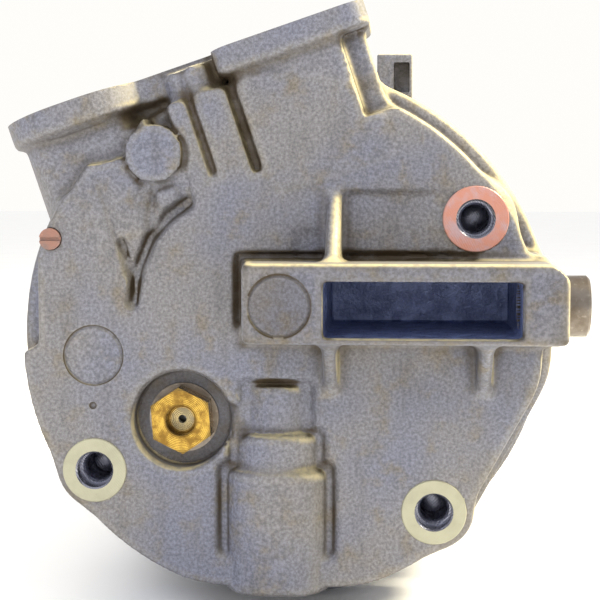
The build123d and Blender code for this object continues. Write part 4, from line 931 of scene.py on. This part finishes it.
def build():
    make_materials()
    head = rear_head()
    face_materials(head, [mats["cast_rear"], mats["window"], mats["spot_pale"], mats["spot_copper"],
                          mats["bore"], mats["machined"]], rear_head_faces)
    place_piece(head, "pump_body", "cast_aluminium", "rear_head")
    cylinders = softened("cylinder_block", "block_casting", 0.9)
    set_material(cylinders, mats["cast"])
    place_piece(cylinders, "pump_body", "cast_aluminium", "cylinder_block")
    front = softened("front_head", "front_casting", 0.95)
    lug_lift(front)
    cut_out(front, [piston_room(k) for k in range(1, 6)])
    smooth_shade(front, 60.0)
    set_material(front, mats["cast"])
    place_piece(front, "pump_body", "cast_aluminium", "front_head")
    for key, nodes in NODE_MATERIALS.items():
        for node in nodes:
            paint(node, mats[key])


def place_piece(piece, body, slot, *nodes):
    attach(piece, body)
    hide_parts(*nodes)


# ---------------------------------------------------------------- stage
FLOOR_SIZE = 6.0
FLOOR_GAP = 0.0005
LENS = 88.16
CAMERA_PLACE = (0.02768, -0.34869, 0.03695)
CAMERA_AIM = (0.00484, 0.0, 0.01017)
LIGHT_AIM = (0.0, 0.05, 0.0)
LIGHTS = (
    # name, place, size, power, colour
    ("key", (0.60, 0.06, 0.66), 0.30, 15.0, (1.0, 0.90, 0.64)),
    ("back_warm", (-0.3, 0.75, 0.6), 0.5, 4.0, (1.0, 0.92, 0.75)),
    ("front", (-0.40, -0.75, 0.65), 0.4, 3.2, (0.86, 0.91, 1.0)),
)


def area_light(name, place, size, power, colour):
    data = bpy.data.lights.new(name, "AREA")
    data.shape = "DISK"
    data.size = size
    data.energy = power
    data.color = colour
    light = bpy.data.objects.new(name, data)
    light.location = place
    light.rotation_mode = "QUATERNION"
    light.rotation_quaternion = (Vector(LIGHT_AIM) - Vector(place)).to_track_quat("-Z", "Y")
    bpy.context.scene.collection.objects.link(light)


def stage():
    scene = bpy.context.scene
    scene.view_settings.view_transform = "Standard"
    world = bpy.data.worlds.new("studio")
    scene.world = world
    world.use_nodes = True
    tree = world.node_tree
    tree.nodes["Background"].inputs["Color"].default_value = (1.0, 0.985, 0.96, 1.0)
    floor_z = cad_bounds[0].z - FLOOR_GAP
    corners = [(a * FLOOR_SIZE, b * FLOOR_SIZE, floor_z) for a, b in ((-1, -1), (1, -1), (1, 1), (-1, 1))]
    mesh = bpy.data.meshes.new("floor")
    mesh.from_pydata(corners, [], [(0, 1, 2, 3)])
    floor = bpy.data.objects.new("floor", mesh)
    scene.collection.objects.link(floor)
    s = Shader("floor")
    tone = s.noise(60.0, 2.0)
    shade = s.mix(s.ramp(tone, 0.3, 0.7), (0.93, 0.94, 0.96), (0.95, 0.96, 0.98))
    floor.data.materials.append(s.done(shade, 0.8))
    for light in LIGHTS:
        area_light(*light)


def camera():
    data = bpy.data.cameras.new("camera")
    data.lens = LENS
    data.sensor_width = 36.0
    view = bpy.data.objects.new("camera", data)
    view.location = CAMERA_PLACE
    view.rotation_mode = "QUATERNION"
    view.rotation_quaternion = (Vector(CAMERA_AIM) - Vector(CAMERA_PLACE)).to_track_quat("-Z", "Y")
    bpy.context.scene.collection.objects.link(view)
    bpy.context.scene.camera = view


build()
stage()
camera()
